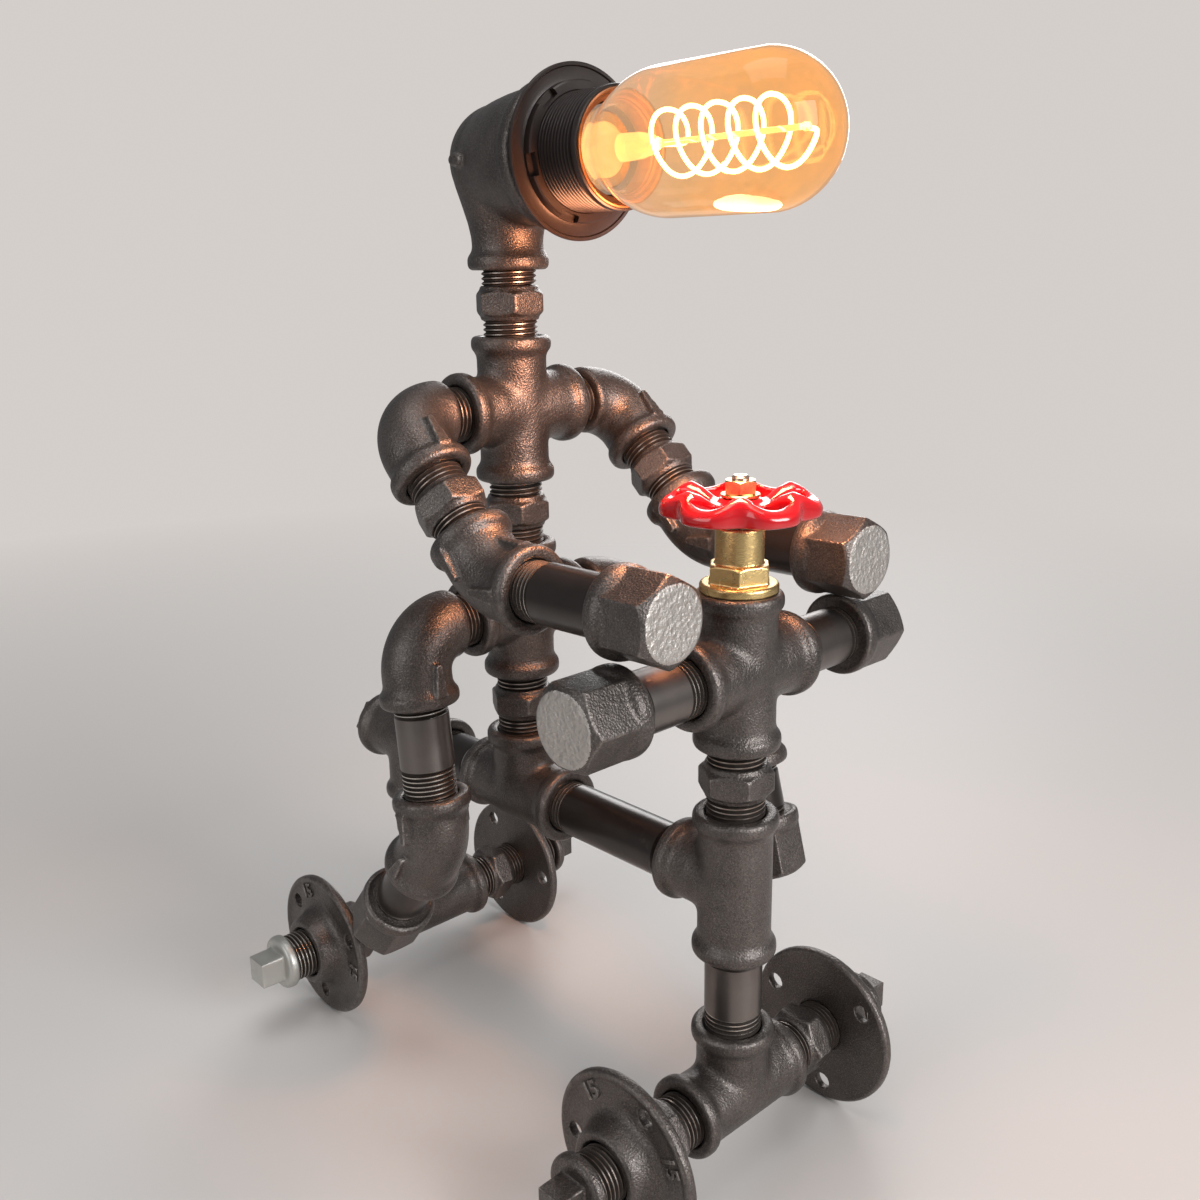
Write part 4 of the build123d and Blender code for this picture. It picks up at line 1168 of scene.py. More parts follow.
def glass_outline(bulb, inset):
    """Half section of the bulb from its neck to its tip, moved inwards by inset."""
    neck = bulb.neck - inset
    wide = bulb.radius - inset
    points = [(neck, bulb.start - 1.5)]
    steps = 16
    for index in range(steps + 1):
        share = index / steps
        swell = (1 - cos(pi * share ** 0.72)) / 2
        height = bulb.start + bulb.straight + bulb.shoulder * share
        points.append((neck + (wide - neck) * swell, height))
    centre = bulb.tip - bulb.radius
    for index in range(1, steps + 1):
        lift = pi / 2 * index / steps
        points.append((wide * cos(lift) if index < steps else 0, centre + wide * sin(lift)))
    return points


def glass_shape(bulb):
    """Glass envelope with its real wall."""
    shape = bmesh.new()
    outer = glass_outline(bulb, 0)
    inner = glass_outline(bulb, bulb.wall)
    lathe(shape, outer + list(reversed(inner)), about("X", 90), steps=128, ring=True)
    return shape


def bulb_cap_shape(bulb):
    """Brass screw cap of the bulb and its flared collar."""
    shape = bmesh.new()
    end = bulb.start
    lathe(shape, [
        (0, end - 9), (12.6, end - 9), (13.2, end - 7), (12.7, end - 5.6), (13.2, end - 4.2),
        (12.9, end - 2.6), (13.3, end - 0.6), (12.6, end + 0.4), (0, end + 0.2)],
        about("X", 90), steps=96)
    return shape


def stem_shape(bulb):
    """Glass stem, flared at its foot and pinched at its head, with a thin rod that ends in a knob."""
    shape = bmesh.new()
    foot, tip = bulb.start, bulb.spiral_end
    lathe(shape, [
        (0, foot), (9.5, foot), (8.2, foot + 2.4), (5.8, foot + 5), (4.6, foot + 10), (4.2, foot + 20),
        (3.2, foot + 25), (1.6, foot + 29), (1.0, foot + 31), (0.9, tip + 3), (1.4, tip + 4),
        (1.2, tip + 5.2), (0, tip + 5.6)], about("X", 90), steps=40)
    return shape


def add_wire(shape, points, radius):
    """Add a round wire along points to a shape."""
    curve = bpy.data.curves.new("wire", "CURVE")
    curve.dimensions = "3D"
    curve.bevel_depth = radius
    curve.bevel_resolution = 3
    curve.use_fill_caps = True
    line = curve.splines.new("NURBS")
    line.points.add(len(points) - 1)
    for point, place in zip(line.points, points):
        point.co = (*place, 1)
    line.order_u = 3
    line.use_endpoint_u = True
    line.resolution_u = 4
    add_curve(shape, curve)


def filament_shape(bulb):
    """Spiral filament with zigzag loops, and its two lead wires."""
    shape = bmesh.new()
    per_turn = 16
    total = bulb.turns * per_turn
    rise = bulb.spiral_end - bulb.spiral_start
    points = []
    for index in range(total + 1):
        turn = tau * index / per_turn
        swell = 1 + 0.05 * sin(3 * turn)
        points.append((
            bulb.coil * swell * cos(turn), -(bulb.spiral_start + rise * index / total),
            bulb.coil * swell * sin(turn)))
    lead_in = [(1.2, -(bulb.spiral_start - 6), 0), (4, -(bulb.spiral_start - 4), 0)]
    lead_out = [(5, -(bulb.spiral_end + 1.5), 0), (1.2, -(bulb.spiral_end + 2), 0)]
    add_wire(shape, lead_in + points + lead_out, bulb.wire)
    return shape


# ---------------------------------------------------------------- shapes of the valve
def bonnet_shape(valve):
    """Bonnet along +Z from the cross's face: disc, hexagon and open tube."""
    shape = bmesh.new()
    hex_low = valve.disc_height
    hex_high = hex_low + valve.hex_height
    top = hex_high + valve.tube_height
    lathe(shape, [
        (0, -4), (10, -4), (10, 0), (valve.disc - 0.3, 0), (valve.disc, 0.3),
        (valve.disc, hex_low - 0.9), (valve.disc - 0.5, hex_low - 0.2), (valve.disc - 1.2, hex_low),
        (0, hex_low)], steps=96)
    corner = hex_radius(valve.flats)
    join(shape, turned_hexagon(valve.flats, hex_low - 0.5, hex_high, [
        (0, -2), (corner + 1, -2), (corner + 1, hex_high - 1.2), (corner - 0.3, hex_high - 0.7),
        (corner - 1.3, hex_high), (0, hex_high)]))
    lathe(shape, [
        (0, hex_high - 1), (valve.tube, hex_high - 1), (valve.tube, top - 0.6),
        (valve.tube - 0.4, top - 0.15), (valve.tube - 0.8, top), (valve.cup + 0.3, top),
        (valve.cup, top - 0.4), (valve.cup, top - 6),
        (valve.stem + 0.1, top - 6), (valve.stem + 0.1, top - 8), (0, top - 8)], steps=96)
    cast(shape, BONNET_GRAIN, 1)
    return shape


def handwheel_shape(valve):
    """Scalloped handwheel: rim turned down, six arched spokes, six D-shaped windows, sunk hub."""
    shape = bmesh.new()
    rim = valve.wheel - valve.lobe_depth
    wall, dish = valve.wall, valve.dish
    lathe(shape, [
        (valve.stem, 0), (valve.hub, 0), (valve.hub, 2.6), (valve.hub + 3.5, 3.6),
        (rim - 6.5, dish + 3.4), (rim - wall - 0.4, dish + 2.2), (rim - wall, dish + 0.6),
        (rim - wall + 0.8, dish), (rim - 0.8, dish),
        (rim, dish + 0.8), (rim + 0.2, dish + 3.6), (rim - 0.6, dish + 5.6), (rim - 2.4, dish + 6.8),
        (rim - 5.5, dish + 7.2), (rim - 10, dish + 6.0), (valve.hub + 3, 6.8), (valve.hub, 6.8),
        (valve.hub - 0.5, 8.2), (valve.stem, 8.2)],
        steps=144, ring=True)
    lobes = valve.lobes
    for vertex in shape.verts:
        radius = hypot(vertex.co.x, vertex.co.y)
        around = atan2(vertex.co.y, vertex.co.x)
        spoke = (1 + cos(lobes * around)) / 2
        outer = min(max((radius - 15) / (rim - 15), 0), 1)
        crown = max(0, 1 - ((radius - (rim - 6.5)) / 8.5) ** 2)
        push = valve.lobe_depth * (1 - 2 * spoke ** 2) * outer ** 2
        vertex.co.x += push * cos(around)
        vertex.co.y += push * sin(around)
        if vertex.co.z > dish + 1:
            vertex.co.z += crown * (2.6 * spoke ** 1.6 - 1.6 * (1 - spoke))
    for index in range(lobes):
        cutter = bmesh.new()
        inner, outer = valve.hub + 3.2, rim - 3.4
        swing = radians(37)
        place = about("Z", 360 / lobes * (index + 0.5) - degrees(swing) / 2)
        section = [(inner, -2), (outer, -2), (outer, 16), (inner, 16)]
        lathe(cutter, section, place, steps=10, ring=True, sweep=swing)
        combine(shape, cutter, "DIFFERENCE")
    cast(shape, HANDWHEEL_GRAIN, 5)
    return shape


def nut_shape(valve, height):
    """Hex nut about Z with chamfered corners."""
    corner = hex_radius(valve.nut_flats)
    return turned_hexagon(valve.nut_flats, 0, height, [
        (0, 0), (corner - 0.8, 0), (corner + 0.1, 0.6), (corner + 0.1, height - 0.6),
        (corner - 0.8, height), (0, height)], steps=48)


# ---------------------------------------------------------------- places of the pieces
def hang(degrees_forward):
    """Direction that lies this far from straight down, towards the front."""
    turn = radians(degrees_forward)
    return Vector((0, -sin(turn), -cos(turn)))


def resting_arm(fit, thread, cap):
    """Angle of the upper arm where the hand rests on the handlebar."""
    upper = fit.centre_to_face + thread.hex_gap + fit.face_45
    across, down = CHEST_CENTRE.y - COLUMN_Y, CHEST_CENTRE.z - BAR_CENTRE.z
    offset = upper * sin(radians(KNEE_BEND)) + 2 * cap.collar + 0.3
    return degrees(atan2(across, down)) + degrees(asin(offset / hypot(across, down))) - KNEE_BEND


class OBJECT_OT_lamp_castings(bpy.types.Operator):
    """Add the tees and crosses of the frame and torso"""
    bl_idname = "object.lamp_castings"
    bl_label = "Tees and Crosses"
    bl_options = {"REGISTER", "UNDO"}

    def execute(self, context):
        fit, = sizes("fittings")
        tee = branched_casting(fit, (UP, DOWN, LEFT))
        cross = branched_casting(fit, (UP, DOWN, LEFT, RIGHT))
        tees = {
            "Front axle tee": ("axle_tees", (0, COLUMN_Y, AXLE_Z), LEFT, UP),
            "Rear axle tee": ("axle_tees", (0, REAR_Y, AXLE_Z), LEFT, UP),
            "Column tee": ("column_tee", (0, COLUMN_Y, RAIL_Z), UP, BACK),
            "Rear tee": ("rear_tee", (0, REAR_Y, RAIL_Z), BACK, DOWN),
            "Saddle tee": ("seat_tee", (0, TORSO_Y, RAIL_Z), BACK, UP),
        }
        for name, (node, centre, run, branch) in tees.items():
            set_piece(name, tee, aim(centre, run, branch), finishes("casting"), "frame", [node])
        crosses = {
            "Hip cross": ("hip_cross", HIP_CENTRE),
            "Chest cross": ("chest_cross", CHEST_CENTRE),
            "Handlebar cross": ("handlebar_cross", BAR_CENTRE),
        }
        for name, (node, centre) in crosses.items():
            set_piece(name, cross, aim(centre, UP, LEFT), finishes("casting"), "frame", [node])
        tee.free()
        cross.free()
        return {"FINISHED"}


class OBJECT_OT_lamp_elbows(bpy.types.Operator):
    """Add the street elbows and 45 degree elbows of the limbs"""
    bl_idname = "object.lamp_elbows"
    bl_label = "Elbows"
    bl_options = {"REGISTER", "UNDO"}

    def execute(self, context):
        fit, thread = sizes("fittings", "threads")
        made = {
            "street": (street_casting(fit, thread), finishes("casting", *LACQUERED)),
            "elbow": (elbow_casting(fit, fit.face_45, fit.bend_45, KNEE_BEND), finishes("casting")),
        }
        for piece in limb_places("street", "elbow"):
            shape, skin = made[piece["kind"]]
            place = aim(piece["centre"], piece["way"], piece["side"])
            set_piece(piece["name"], shape, place, skin, piece["body"], [piece["node"]])
        for shape, skin in made.values():
            shape.free()
        return {"FINISHED"}


class OBJECT_OT_lamp_pipes(bpy.types.Operator):
    """Add the pipe nipples with their cut threads"""
    bl_idname = "object.lamp_pipes"
    bl_label = "Pipe Nipples"
    bl_options = {"REGISTER", "UNDO"}

    def execute(self, context):
        fit, thread = sizes("fittings", "threads")
        reach = fit.centre_to_face
        front, rear = Vector((0, COLUMN_Y, AXLE_Z)), Vector((0, REAR_Y, AXLE_Z))
        saddle = Vector((0, TORSO_Y, RAIL_Z))
        low, high = node_box("handlebar_pipes")
        half_bar = (high.x - low.x) / 2 - 10 + reach
        runs = [
            ("Front column pipe", "column_pipes", front, UP, RAIL_Z - AXLE_Z, 6.5, 3.0),
            ("Rear column pipe", "column_pipes", rear, UP, RAIL_Z - AXLE_Z, 5.0, 4.0),
            ("Long rail pipe", "rail_pipes", saddle, FRONT, TORSO_Y - COLUMN_Y, 5.5, 4.5),
            ("Short rail pipe", "rail_pipes", saddle, BACK, REAR_Y - TORSO_Y, 5.0, 5.0),
            ("Handlebar pipe right", "handlebar_pipes", BAR_CENTRE, RIGHT, half_bar, 6.0, 4.0),
            ("Handlebar pipe left", "handlebar_pipes", BAR_CENTRE, LEFT, half_bar, 6.0, 4.0),
        ]
        for name, node, centre, way, span, first, last in runs:
            shape = pipe_shape(thread, span - 2 * reach, first, last)
            skin = finishes("pipe" if node == "rail_pipes" else "satin pipe", *THREADED)
            set_piece(name, shape, aim(centre + way * reach, way), skin, "frame", [node], "black_pipe")
            shape.free()
        for piece in limb_places("pipe"):
            shape = pipe_shape(thread, piece["gap"], *piece["shown"])
            skin = finishes("satin pipe" if "thigh" in piece["node"] else "pipe", *THREADED)
            place = aim(piece["centre"], piece["way"])
            set_piece(piece["name"], shape, place, skin, piece["body"], [piece["node"]], "black_pipe")
            shape.free()
        return {"FINISHED"}


class OBJECT_OT_lamp_nipples(bpy.types.Operator):
    """Add the hex nipples"""
    bl_idname = "object.lamp_nipples"
    bl_label = "Hex Nipples"
    bl_options = {"REGISTER", "UNDO"}

    def execute(self, context):
        fit, thread = sizes("fittings", "threads")
        reach = fit.centre_to_face
        skin = finishes("casting", *LACQUERED)
        short = hex_nipple_shape(thread, thread.hex_gap)
        wide = hex_nipple_shape(thread, WHEEL_X - reach)
        stands = {
            "Column nipple": Vector((0, COLUMN_Y, RAIL_Z)),
            "Saddle nipple": Vector((0, TORSO_Y, RAIL_Z)),
            "Waist nipple": HIP_CENTRE,
            "Neck nipple": CHEST_CENTRE,
        }
        for name, centre in stands.items():
            set_piece(name, short, aim(centre + UP * reach, UP), skin, "frame", ["hex_nipples"])
        for piece in limb_places("nipple"):
            place = aim(piece["centre"], piece["way"])
            set_piece(piece["name"], short, place, skin, piece["body"], [piece["node"]])
        for end, hub_y in (("front", COLUMN_Y), ("rear", REAR_Y)):
            for word, side in SIDES.items():
                place = aim(Vector((0, hub_y, AXLE_Z)) + side * reach, side)
                set_piece(f"Axle nipple {end} {word}", wide, place, skin, "frame", ["axle_nipples"])
        short.free()
        wide.free()
        return {"FINISHED"}


class OBJECT_OT_lamp_caps(bpy.types.Operator):
    """Add the hex caps of hands, feet and handlebar"""
    bl_idname = "object.lamp_caps"
    bl_label = "Hex Caps"
    bl_options = {"REGISTER", "UNDO"}

    def execute(self, context):
        thread, cap = sizes("threads", "caps")
        shape = cap_shape(cap, thread)
        # the second finish paints a highlight on the closed ends
        skin = finishes("casting", "bare")
        for piece in limb_places("cap"):
            place = aim(piece["centre"], piece["way"], piece["side"])
            set_piece(piece["name"], shape, place, skin, piece["body"], [piece["node"]])
        low, high = node_box("handlebar_caps")
        for word, side in SIDES.items():
            place = aim(BAR_CENTRE + side * (high.x - cap.length), side, BACK)
            set_piece(f"Handlebar cap {word}", shape, place, skin, "frame", ["handlebar_caps"])
        shape.free()
        return {"FINISHED"}


class OBJECT_OT_lamp_wheels(bpy.types.Operator):
    """Add the four floor-flange wheels and their plugs"""
    bl_idname = "object.lamp_wheels"
    bl_label = "Wheels"
    bl_options = {"REGISTER", "UNDO"}

    def execute(self, context):
        thread, wheel = sizes("threads", "wheels")
        plug = plug_shape(wheel, thread, wheel.plug_collar)
        zinc_plug = plug_shape(wheel, thread, wheel.zinc_collar)
        turns = {
            "front_right": (-5, (52, 155)),
            "front_left": (24, (85, 205)),
            "rear_right": (35, (66, 186)),
            "rear_left": (58, (20, 140)),
        }
        for name, (hole_turn, digits_turns) in turns.items():
            end, word = name.split("_")
            side = SIDES[word]
            centre = Vector((side.x * WHEEL_X, COLUMN_Y if end == "front" else REAR_Y, AXLE_Z))
            if word == "right":
                hole_turn, digits_turns = 180 - hole_turn, [180 - turn for turn in digits_turns]
            shape = flange_shape(wheel, hole_turn, digits_turns)
            body = "wheel_" + name
            place = aim(centre, side, Vector((0, side.x, 0)))
            set_piece("Wheel " + name, shape, place, finishes("casting"), body, [body])
            shape.free()
            shape, skin, slot = plug, finishes("casting", *LACQUERED), "black_casting"
            if name == "rear_right":
                shape, skin, slot = zinc_plug, finishes("zinc", *THREADED), "zinc"
            place = aim(centre + side * wheel.height, side)
            set_piece("Wheel plug " + name, shape, place, skin, body, ["wheel_plug_" + name], slot)
        plug.free()
        zinc_plug.free()
        return {"FINISHED"}


class OBJECT_OT_lamp_head(bpy.types.Operator):
    """Add the head elbow, the lampholder and the shade ring"""
    bl_idname = "object.lamp_head"
    bl_label = "Head and Lampholder"
    bl_options = {"REGISTER", "UNDO"}

    def execute(self, context):
        fit, head = sizes("fittings", "head")
        place = Matrix.Translation(HEAD_CENTRE) @ Matrix.Rotation(head.turn, 4, "Z")
        pieces = [
            ("Head elbow", head_casting(head, fit), "casting", ["head_elbow"], "black_casting"),
            ("Lampholder shell", holder_shape(head), "holder", ["lampholder_shell"], "holder_bronze"),
            ("Lampholder lining", lining_shape(head), "copper", ["lampholder_shell"], "brass"),
            ("Shade ring", ring_shape(head), "holder", ["shade_ring"], "holder_bronze"),
        ]
        for name, shape, skin, nodes, slot in pieces:
            set_piece(name, shape, place, finishes(skin), "head", nodes, slot)
            shape.free()
        return {"FINISHED"}


class OBJECT_OT_lamp_bulb(bpy.types.Operator):
    """Add the bulb: glass, cap, stem and filament"""
    bl_idname = "object.lamp_bulb"
    bl_label = "Bulb"
    bl_options = {"REGISTER", "UNDO"}

    def execute(self, context):
        head, bulb = sizes("head", "bulb")
        place = Matrix.Translation(HEAD_CENTRE) @ Matrix.Rotation(head.turn, 4, "Z")
        pieces = [
            ("Bulb glass", glass_shape(bulb), "glass", ["bulb_glass"], "amber_glass"),
            ("Bulb cap", bulb_cap_shape(bulb), "brass", ["bulb_cap"], "brass"),
            ("Bulb stem", stem_shape(bulb), "lit glass", ["bulb_mount"], "clear_glass"),
            ("Filament", filament_shape(bulb), "hot wire", ["filament"], "steel"),
        ]
        for name, shape, skin, nodes, slot in pieces:
            set_piece(name, shape, place, finishes(skin), "head", nodes, slot)
            shape.free()
        return {"FINISHED"}


class OBJECT_OT_lamp_valve(bpy.types.Operator):
    """Add the brass bonnet, the red handwheel, its washer and its nut"""
    bl_idname = "object.lamp_valve"
    bl_label = "Valve"
    bl_options = {"REGISTER", "UNDO"}

    def execute(self, context):
        fit, valve = sizes("fittings", "valve")
        centre = Vector((0, COLUMN_Y, 0))
        disc_low = BAR_CENTRE.z + fit.centre_to_face
        wheel_low, wheel_high = node_box("handwheel")
        washer_low, washer_high = node_box("handwheel_washer")
        nut_low, nut_high = node_box("handwheel_nut")
        stem_low, stem_high = node_box("valve_stem")
        bonnet = bonnet_shape(valve)
        wheel = handwheel_shape(valve)
        washer = bmesh.new()
        thick = washer_high.z - washer_low.z
        lathe(washer, [
            (valve.stem, 0), (valve.washer - 0.3, 0), (valve.washer, 0.25),
            (valve.washer, thick - 0.25), (valve.washer - 0.3, thick), (valve.stem, thick)], ring=True)
        nut = nut_shape(valve, nut_high.z - nut_low.z)
        stem = bmesh.new()
        tall = stem_high.z - stem_low.z
        turned = valve.stem - 0.06
        lathe(stem, [
            (0, 0), (turned, 0), (turned, tall - 0.7), (valve.stem - 0.7, tall), (1.2, tall),
            (0.6, tall - 0.8), (0, tall - 0.8)])
        pieces = [
            ("Valve bonnet", bonnet, disc_low, "cast brass", "frame", "valve_bonnet", "brass"),
            ("Handwheel", wheel, wheel_low.z, "enamel", "handwheel", "handwheel", "red_enamel"),
            ("Handwheel washer", washer, washer_low.z, "brass", "handwheel", "handwheel_washer", "brass"),
            ("Handwheel nut", nut, nut_low.z, "brass", "handwheel", "handwheel_nut", "brass"),
            ("Valve stem", stem, stem_low.z, "steel", "handwheel", "valve_stem", "steel"),
        ]
        for name, shape, height, skin, body, node, slot in pieces:
            place = Matrix.Translation(centre + UP * height) @ Matrix.Rotation(valve.turn, 4, "Z")
            set_piece(name, shape, place, finishes(skin), body, [node], slot)
            shape.free()
        return {"FINISHED"}


class OBJECT_OT_lamp_inside(bpy.types.Operator):
    """Finish the pieces inside: flex, splice, dimmer, core, contacts and the cable gland"""
    bl_idname = "object.lamp_inside"
    bl_label = "Wiring and Gland"
    bl_options = {"REGISTER", "UNDO"}

    def execute(self, context):
        skins = {
            "frame_flex": "flex", "head_flex": "flex", "splice_block": "insulator",
            "dimmer_body": "insulator", "lampholder_core": "insulator",
            "lampholder_contacts": "brass", "cable_gland": "insulator",
        }
        for node, skin in skins.items():
            mesh = frame["nodes"][node].data
            mesh.materials.clear()
            mesh.materials.append(finish(skin))
        return {"FINISHED"}


def limb_places(*kinds):
    """Some kinds of pieces of the arms and legs: name, node, body, centre and directions."""
    fit, thread, cap = sizes("fittings", "threads", "caps")
    places = []
    for word, side in SIDES.items():
        places += arm_places(word, side, fit, thread, cap) + leg_places(word, side, fit)
    return [place for place in places if place["kind"] in kinds]


def arm_places(word, side, fit, thread, cap):
    """Pieces of one arm, shoulder to hand."""
    shoulder = Vector((side.x * abs(SHOULDER.x), SHOULDER.y, SHOULDER.z))
    arm_angle = resting_arm(fit, thread, cap)
    upper, fore = hang(arm_angle), hang(arm_angle + KNEE_BEND)
    elbow = shoulder + upper * (fit.centre_to_face + thread.hex_gap + fit.face_45)
    wrist = elbow + fore * fit.face_45
    low, high = node_box("hand_cap_" + word)
    gap = abs(low.y - wrist.y) / abs(fore.y) - cap.length
    hand = wrist + fore * gap
    body = "arm_" + word
    return [
        dict(kind="street", name=f"Shoulder elbow {word}", node="shoulder_elbow_" + word, body=body,
             centre=shoulder, way=side, side=upper),
        dict(kind="nipple", name=f"Arm nipple {word}", node="arm_nipple_" + word, body=body,
             centre=shoulder + upper * fit.centre_to_face, way=upper),
        dict(kind="elbow", name=f"Forearm elbow {word}", node="forearm_elbow_" + word, body=body,
             centre=elbow, way=upper, side=fore),
        dict(kind="pipe", name=f"Hand pipe {word}", node="hand_pipe_" + word, body=body,
             centre=wrist, way=fore, gap=gap, shown=(7.5, 3.0)),
        dict(kind="cap", name=f"Hand cap {word}", node="hand_cap_" + word, body=body,
             centre=hand, way=fore, side=UP),
    ]


def leg_places(word, side, fit):
    """Pieces of one leg, hip to foot."""
    hip = Vector((side.x * abs(HIP.x), HIP.y, HIP.z))
    axis = named(frame["joints"], "knee_twist_" + word, "axis").normalized()
    thigh = axis * (-1 if word == "right" else 1)
    shin = about("X", KNEE_BEND) @ thigh
    shin_gap = SHIN_GAPS[word]
    knee = hip + thigh * (fit.centre_to_face + THIGH_GAP + fit.face_45)
    ankle = knee + shin * fit.face_45
    body = "shin_" + word
    shown = (4.0, 11.0) if word == "right" else (4.5, 6.0)
    return [
        dict(kind="street", name=f"Hip elbow {word}", node="hip_elbow_" + word, body="leg_" + word,
             centre=hip, way=side, side=thigh),
        dict(kind="pipe", name=f"Thigh pipe {word}", node="thigh_pipe_" + word, body="leg_" + word,
             centre=hip + thigh * fit.centre_to_face, way=thigh, gap=THIGH_GAP, shown=shown),
        dict(kind="elbow", name=f"Knee elbow {word}", node="knee_elbow_" + word, body=body,
             centre=knee, way=thigh, side=shin),
        dict(kind="pipe", name=f"Shin pipe {word}", node="shin_pipe_" + word, body=body,
             centre=ankle, way=shin, gap=shin_gap, shown=(3.5, 2.5)),
        dict(kind="cap", name=f"Foot cap {word}", node="foot_cap_" + word, body=body,
             centre=ankle + shin * shin_gap, way=shin, side=LEFT),
    ]


# ---------------------------------------------------------------- stage
def area_light(name, place, target, size, power):
    """Square softbox that faces a target."""
    light = bpy.data.lights.new(name, "AREA")
    light.shape = "SQUARE"
    light.size = size
    light.energy = power
    lamp = bpy.data.objects.new(name, light)
    lamp.location = place
    lamp.rotation_euler = (Vector(target) - Vector(place)).to_track_quat("-Z", "Y").to_euler()
    lamp.visible_transmission = False
    bpy.context.scene.collection.objects.link(lamp)


def set_camera(stage):
    """Camera at the viewing angle of a person seated before the lamp."""
    yaw, pitch, roll = stage.camera_yaw, stage.camera_pitch, stage.camera_roll
    ahead = Vector((sin(yaw) * cos(pitch), cos(yaw) * cos(pitch), sin(pitch)))
    level = Vector((cos(yaw), -sin(yaw), 0))
    rise = level.cross(ahead)
    across = level * cos(roll) + rise * sin(roll)
    upward = rise * cos(roll) - level * sin(roll)
    data = bpy.data.cameras.new("Camera")
    data.sensor_width = 36
    data.sensor_fit = "AUTO"
    data.lens = stage.camera_lens
    data.clip_start = 0.01
    camera = bpy.data.objects.new("Camera", data)
    camera.matrix_world = (
        Matrix.Translation(stage.camera_place)
        @ Matrix((across, upward, -ahead)).transposed().to_4x4())
    bpy.context.scene.collection.objects.link(camera)
    bpy.context.scene.camera = camera


def floor_finish(colours):
    """Pale floor that fades into the backdrop away from the lamp."""
    made = Finish("Pale floor")
    cloud = made.noise(3, 3)
    shade = made.blend(cloud * 0.2, colours.floor, colours.backdrop)
    reach = made.add("ShaderNodeVectorMath", {"operation": "LENGTH"}, (made.place,), "Value")
    return made.surface(Base_Color=shade, Roughness=0.55, Alpha=1.0 - reach.between(0.35, 1.3))


def set_world(stage, colours):
    """Even pale light all round, behind which the camera sees the backdrop's tone."""
    world = bpy.data.worlds.new("Studio")
    world.use_nodes = True
    tree = world.node_tree
    tree.nodes.clear()
    mix = tree.nodes.new("ShaderNodeMixShader")
    looks = (((0.93, 0.94, 0.96), stage.world_strength), (colours.backdrop, 1.0))
    for index, (tone, strength) in enumerate(looks, 1):
        look = tree.nodes.new("ShaderNodeBackground")
        look.inputs["Color"].default_value = (*tone, 1)
        look.inputs["Strength"].default_value = strength
        tree.links.new(look.outputs[0], mix.inputs[index])
    path = tree.nodes.new("ShaderNodeLightPath")
    out = tree.nodes.new("ShaderNodeOutputWorld")
    tree.links.new(path.outputs["Is Camera Ray"], mix.inputs[0])
    tree.links.new(mix.outputs[0], out.inputs["Surface"])
    bpy.context.scene.world = world


class OBJECT_OT_lamp_stage(bpy.types.Operator):
    """Add the floor, the lights and the camera"""
    bl_idname = "object.lamp_stage"
    bl_label = "Stage"
    bl_options = {"REGISTER", "UNDO"}

    def execute(self, context):
        stage = context.scene.pipe_lamp_stage
        colours = context.scene.pipe_lamp_colours
        context.scene.view_settings.view_transform = "Standard"
        shape = bmesh.new()
        bmesh.ops.create_grid(shape, x_segments=1, y_segments=1, size=stage.floor_half)
        mesh = bpy.data.meshes.new("Floor")
        shape.to_mesh(mesh)
        shape.free()
        mesh.materials.append(floor_finish(colours))
        floor = bpy.data.objects.new("Floor", mesh)
        context.scene.collection.objects.link(floor)
        middle = (0, 0, 0.2)
        area_light("Key", (0.15, -1.5, 0.75), middle, 0.8, stage.key_power)
        area_light("Fill", (-1.5, 0.1, 0.7), middle, 1.0, stage.fill_power)
        area_light("Top", (-0.1, -0.1, 1.5), middle, 0.8, stage.top_power)
        area_light("Back", (1.3, 0.9, 0.8), middle, 0.8, stage.back_power)
        warm = bpy.data.lights.new("Bulb light", "POINT")
        warm.energy = stage.bulb_power
        warm.color = (1.0, 0.40, 0.19)
        warm.shadow_soft_size = 0.022
        lamp = bpy.data.objects.new("Bulb light", warm)
        lamp.location = (0, HEAD_CENTRE.y * MM - 0.115, HEAD_CENTRE.z * MM - 0.050)
        lamp.visible_camera = False
        lamp.visible_transmission = False
        context.scene.collection.objects.link(lamp)
        set_world(stage, colours)
        set_camera(stage)
        return {"FINISHED"}


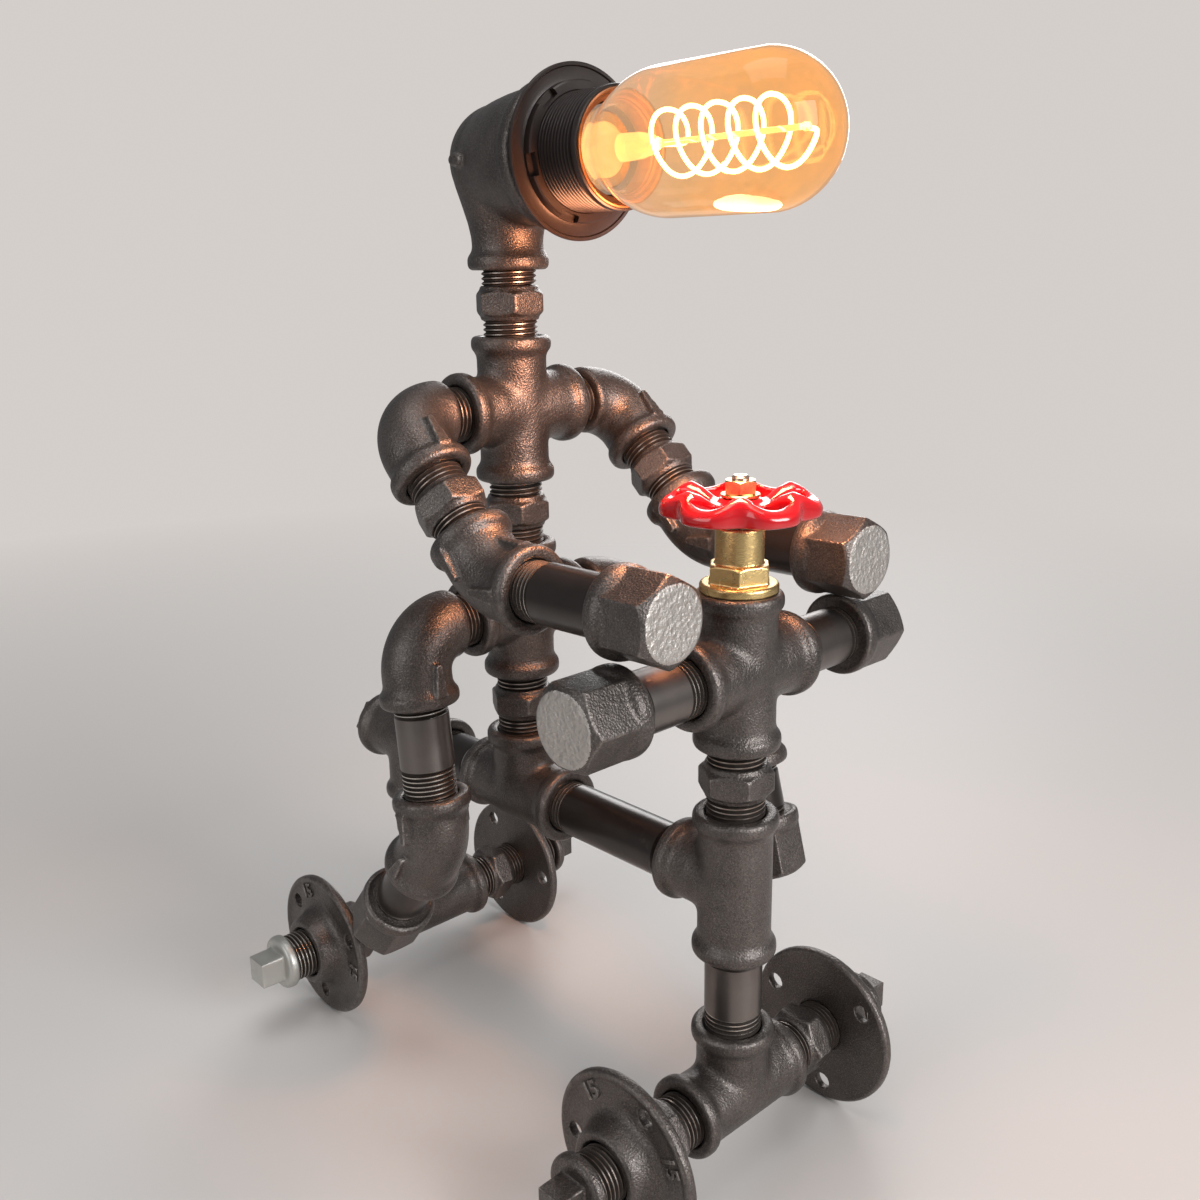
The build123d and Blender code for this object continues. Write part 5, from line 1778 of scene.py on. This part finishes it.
# ---------------------------------------------------------------- panel and registration
PIECES = (
    OBJECT_OT_lamp_castings, OBJECT_OT_lamp_elbows, OBJECT_OT_lamp_pipes, OBJECT_OT_lamp_nipples,
    OBJECT_OT_lamp_caps, OBJECT_OT_lamp_wheels, OBJECT_OT_lamp_head, OBJECT_OT_lamp_bulb,
    OBJECT_OT_lamp_valve, OBJECT_OT_lamp_inside, OBJECT_OT_lamp_stage)
GROUPS = {
    "pipe_lamp_fittings": FittingSizes,
    "pipe_lamp_threads": ThreadSizes,
    "pipe_lamp_caps": CapSizes,
    "pipe_lamp_wheels": WheelSizes,
    "pipe_lamp_head": HeadSizes,
    "pipe_lamp_bulb": BulbSizes,
    "pipe_lamp_valve": ValveSizes,
    "pipe_lamp_stage": StageSettings,
    "pipe_lamp_colours": FinishColours,
}


class VIEW3D_PT_pipe_lamp(bpy.types.Panel):
    """Sizes, colours and buttons of the pipe lamp"""
    bl_label = "Pipe Lamp"
    bl_idname = "VIEW3D_PT_pipe_lamp"
    bl_space_type = "VIEW_3D"
    bl_region_type = "UI"
    bl_category = "Pipe Lamp"

    def draw(self, context):
        for piece in PIECES:
            self.layout.operator(piece.bl_idname)
        for name, group in GROUPS.items():
            box = self.layout.box()
            box.label(text=group.__doc__)
            for field in group.__annotations__:
                box.prop(getattr(context.scene, name), field)


def register():
    """Register the classes and hang the property groups on the scene."""
    for group in GROUPS.values():
        bpy.utils.register_class(group)
    for piece in PIECES:
        bpy.utils.register_class(piece)
    bpy.utils.register_class(VIEW3D_PT_pipe_lamp)
    for name, group in GROUPS.items():
        setattr(bpy.types.Scene, name, bpy.props.PointerProperty(type=group))


def unregister():
    """Undo what register did."""
    for name in GROUPS:
        delattr(bpy.types.Scene, name)
    bpy.utils.unregister_class(VIEW3D_PT_pipe_lamp)
    for piece in reversed(PIECES):
        bpy.utils.unregister_class(piece)
    for group in reversed(GROUPS.values()):
        bpy.utils.unregister_class(group)


def main():
    """Register the add-on and build the whole lamp."""
    register()
    for piece in PIECES:
        area, action = piece.bl_idname.split(".")
        getattr(getattr(bpy.ops, area), action)()


if __name__ == "__main__":
    main()
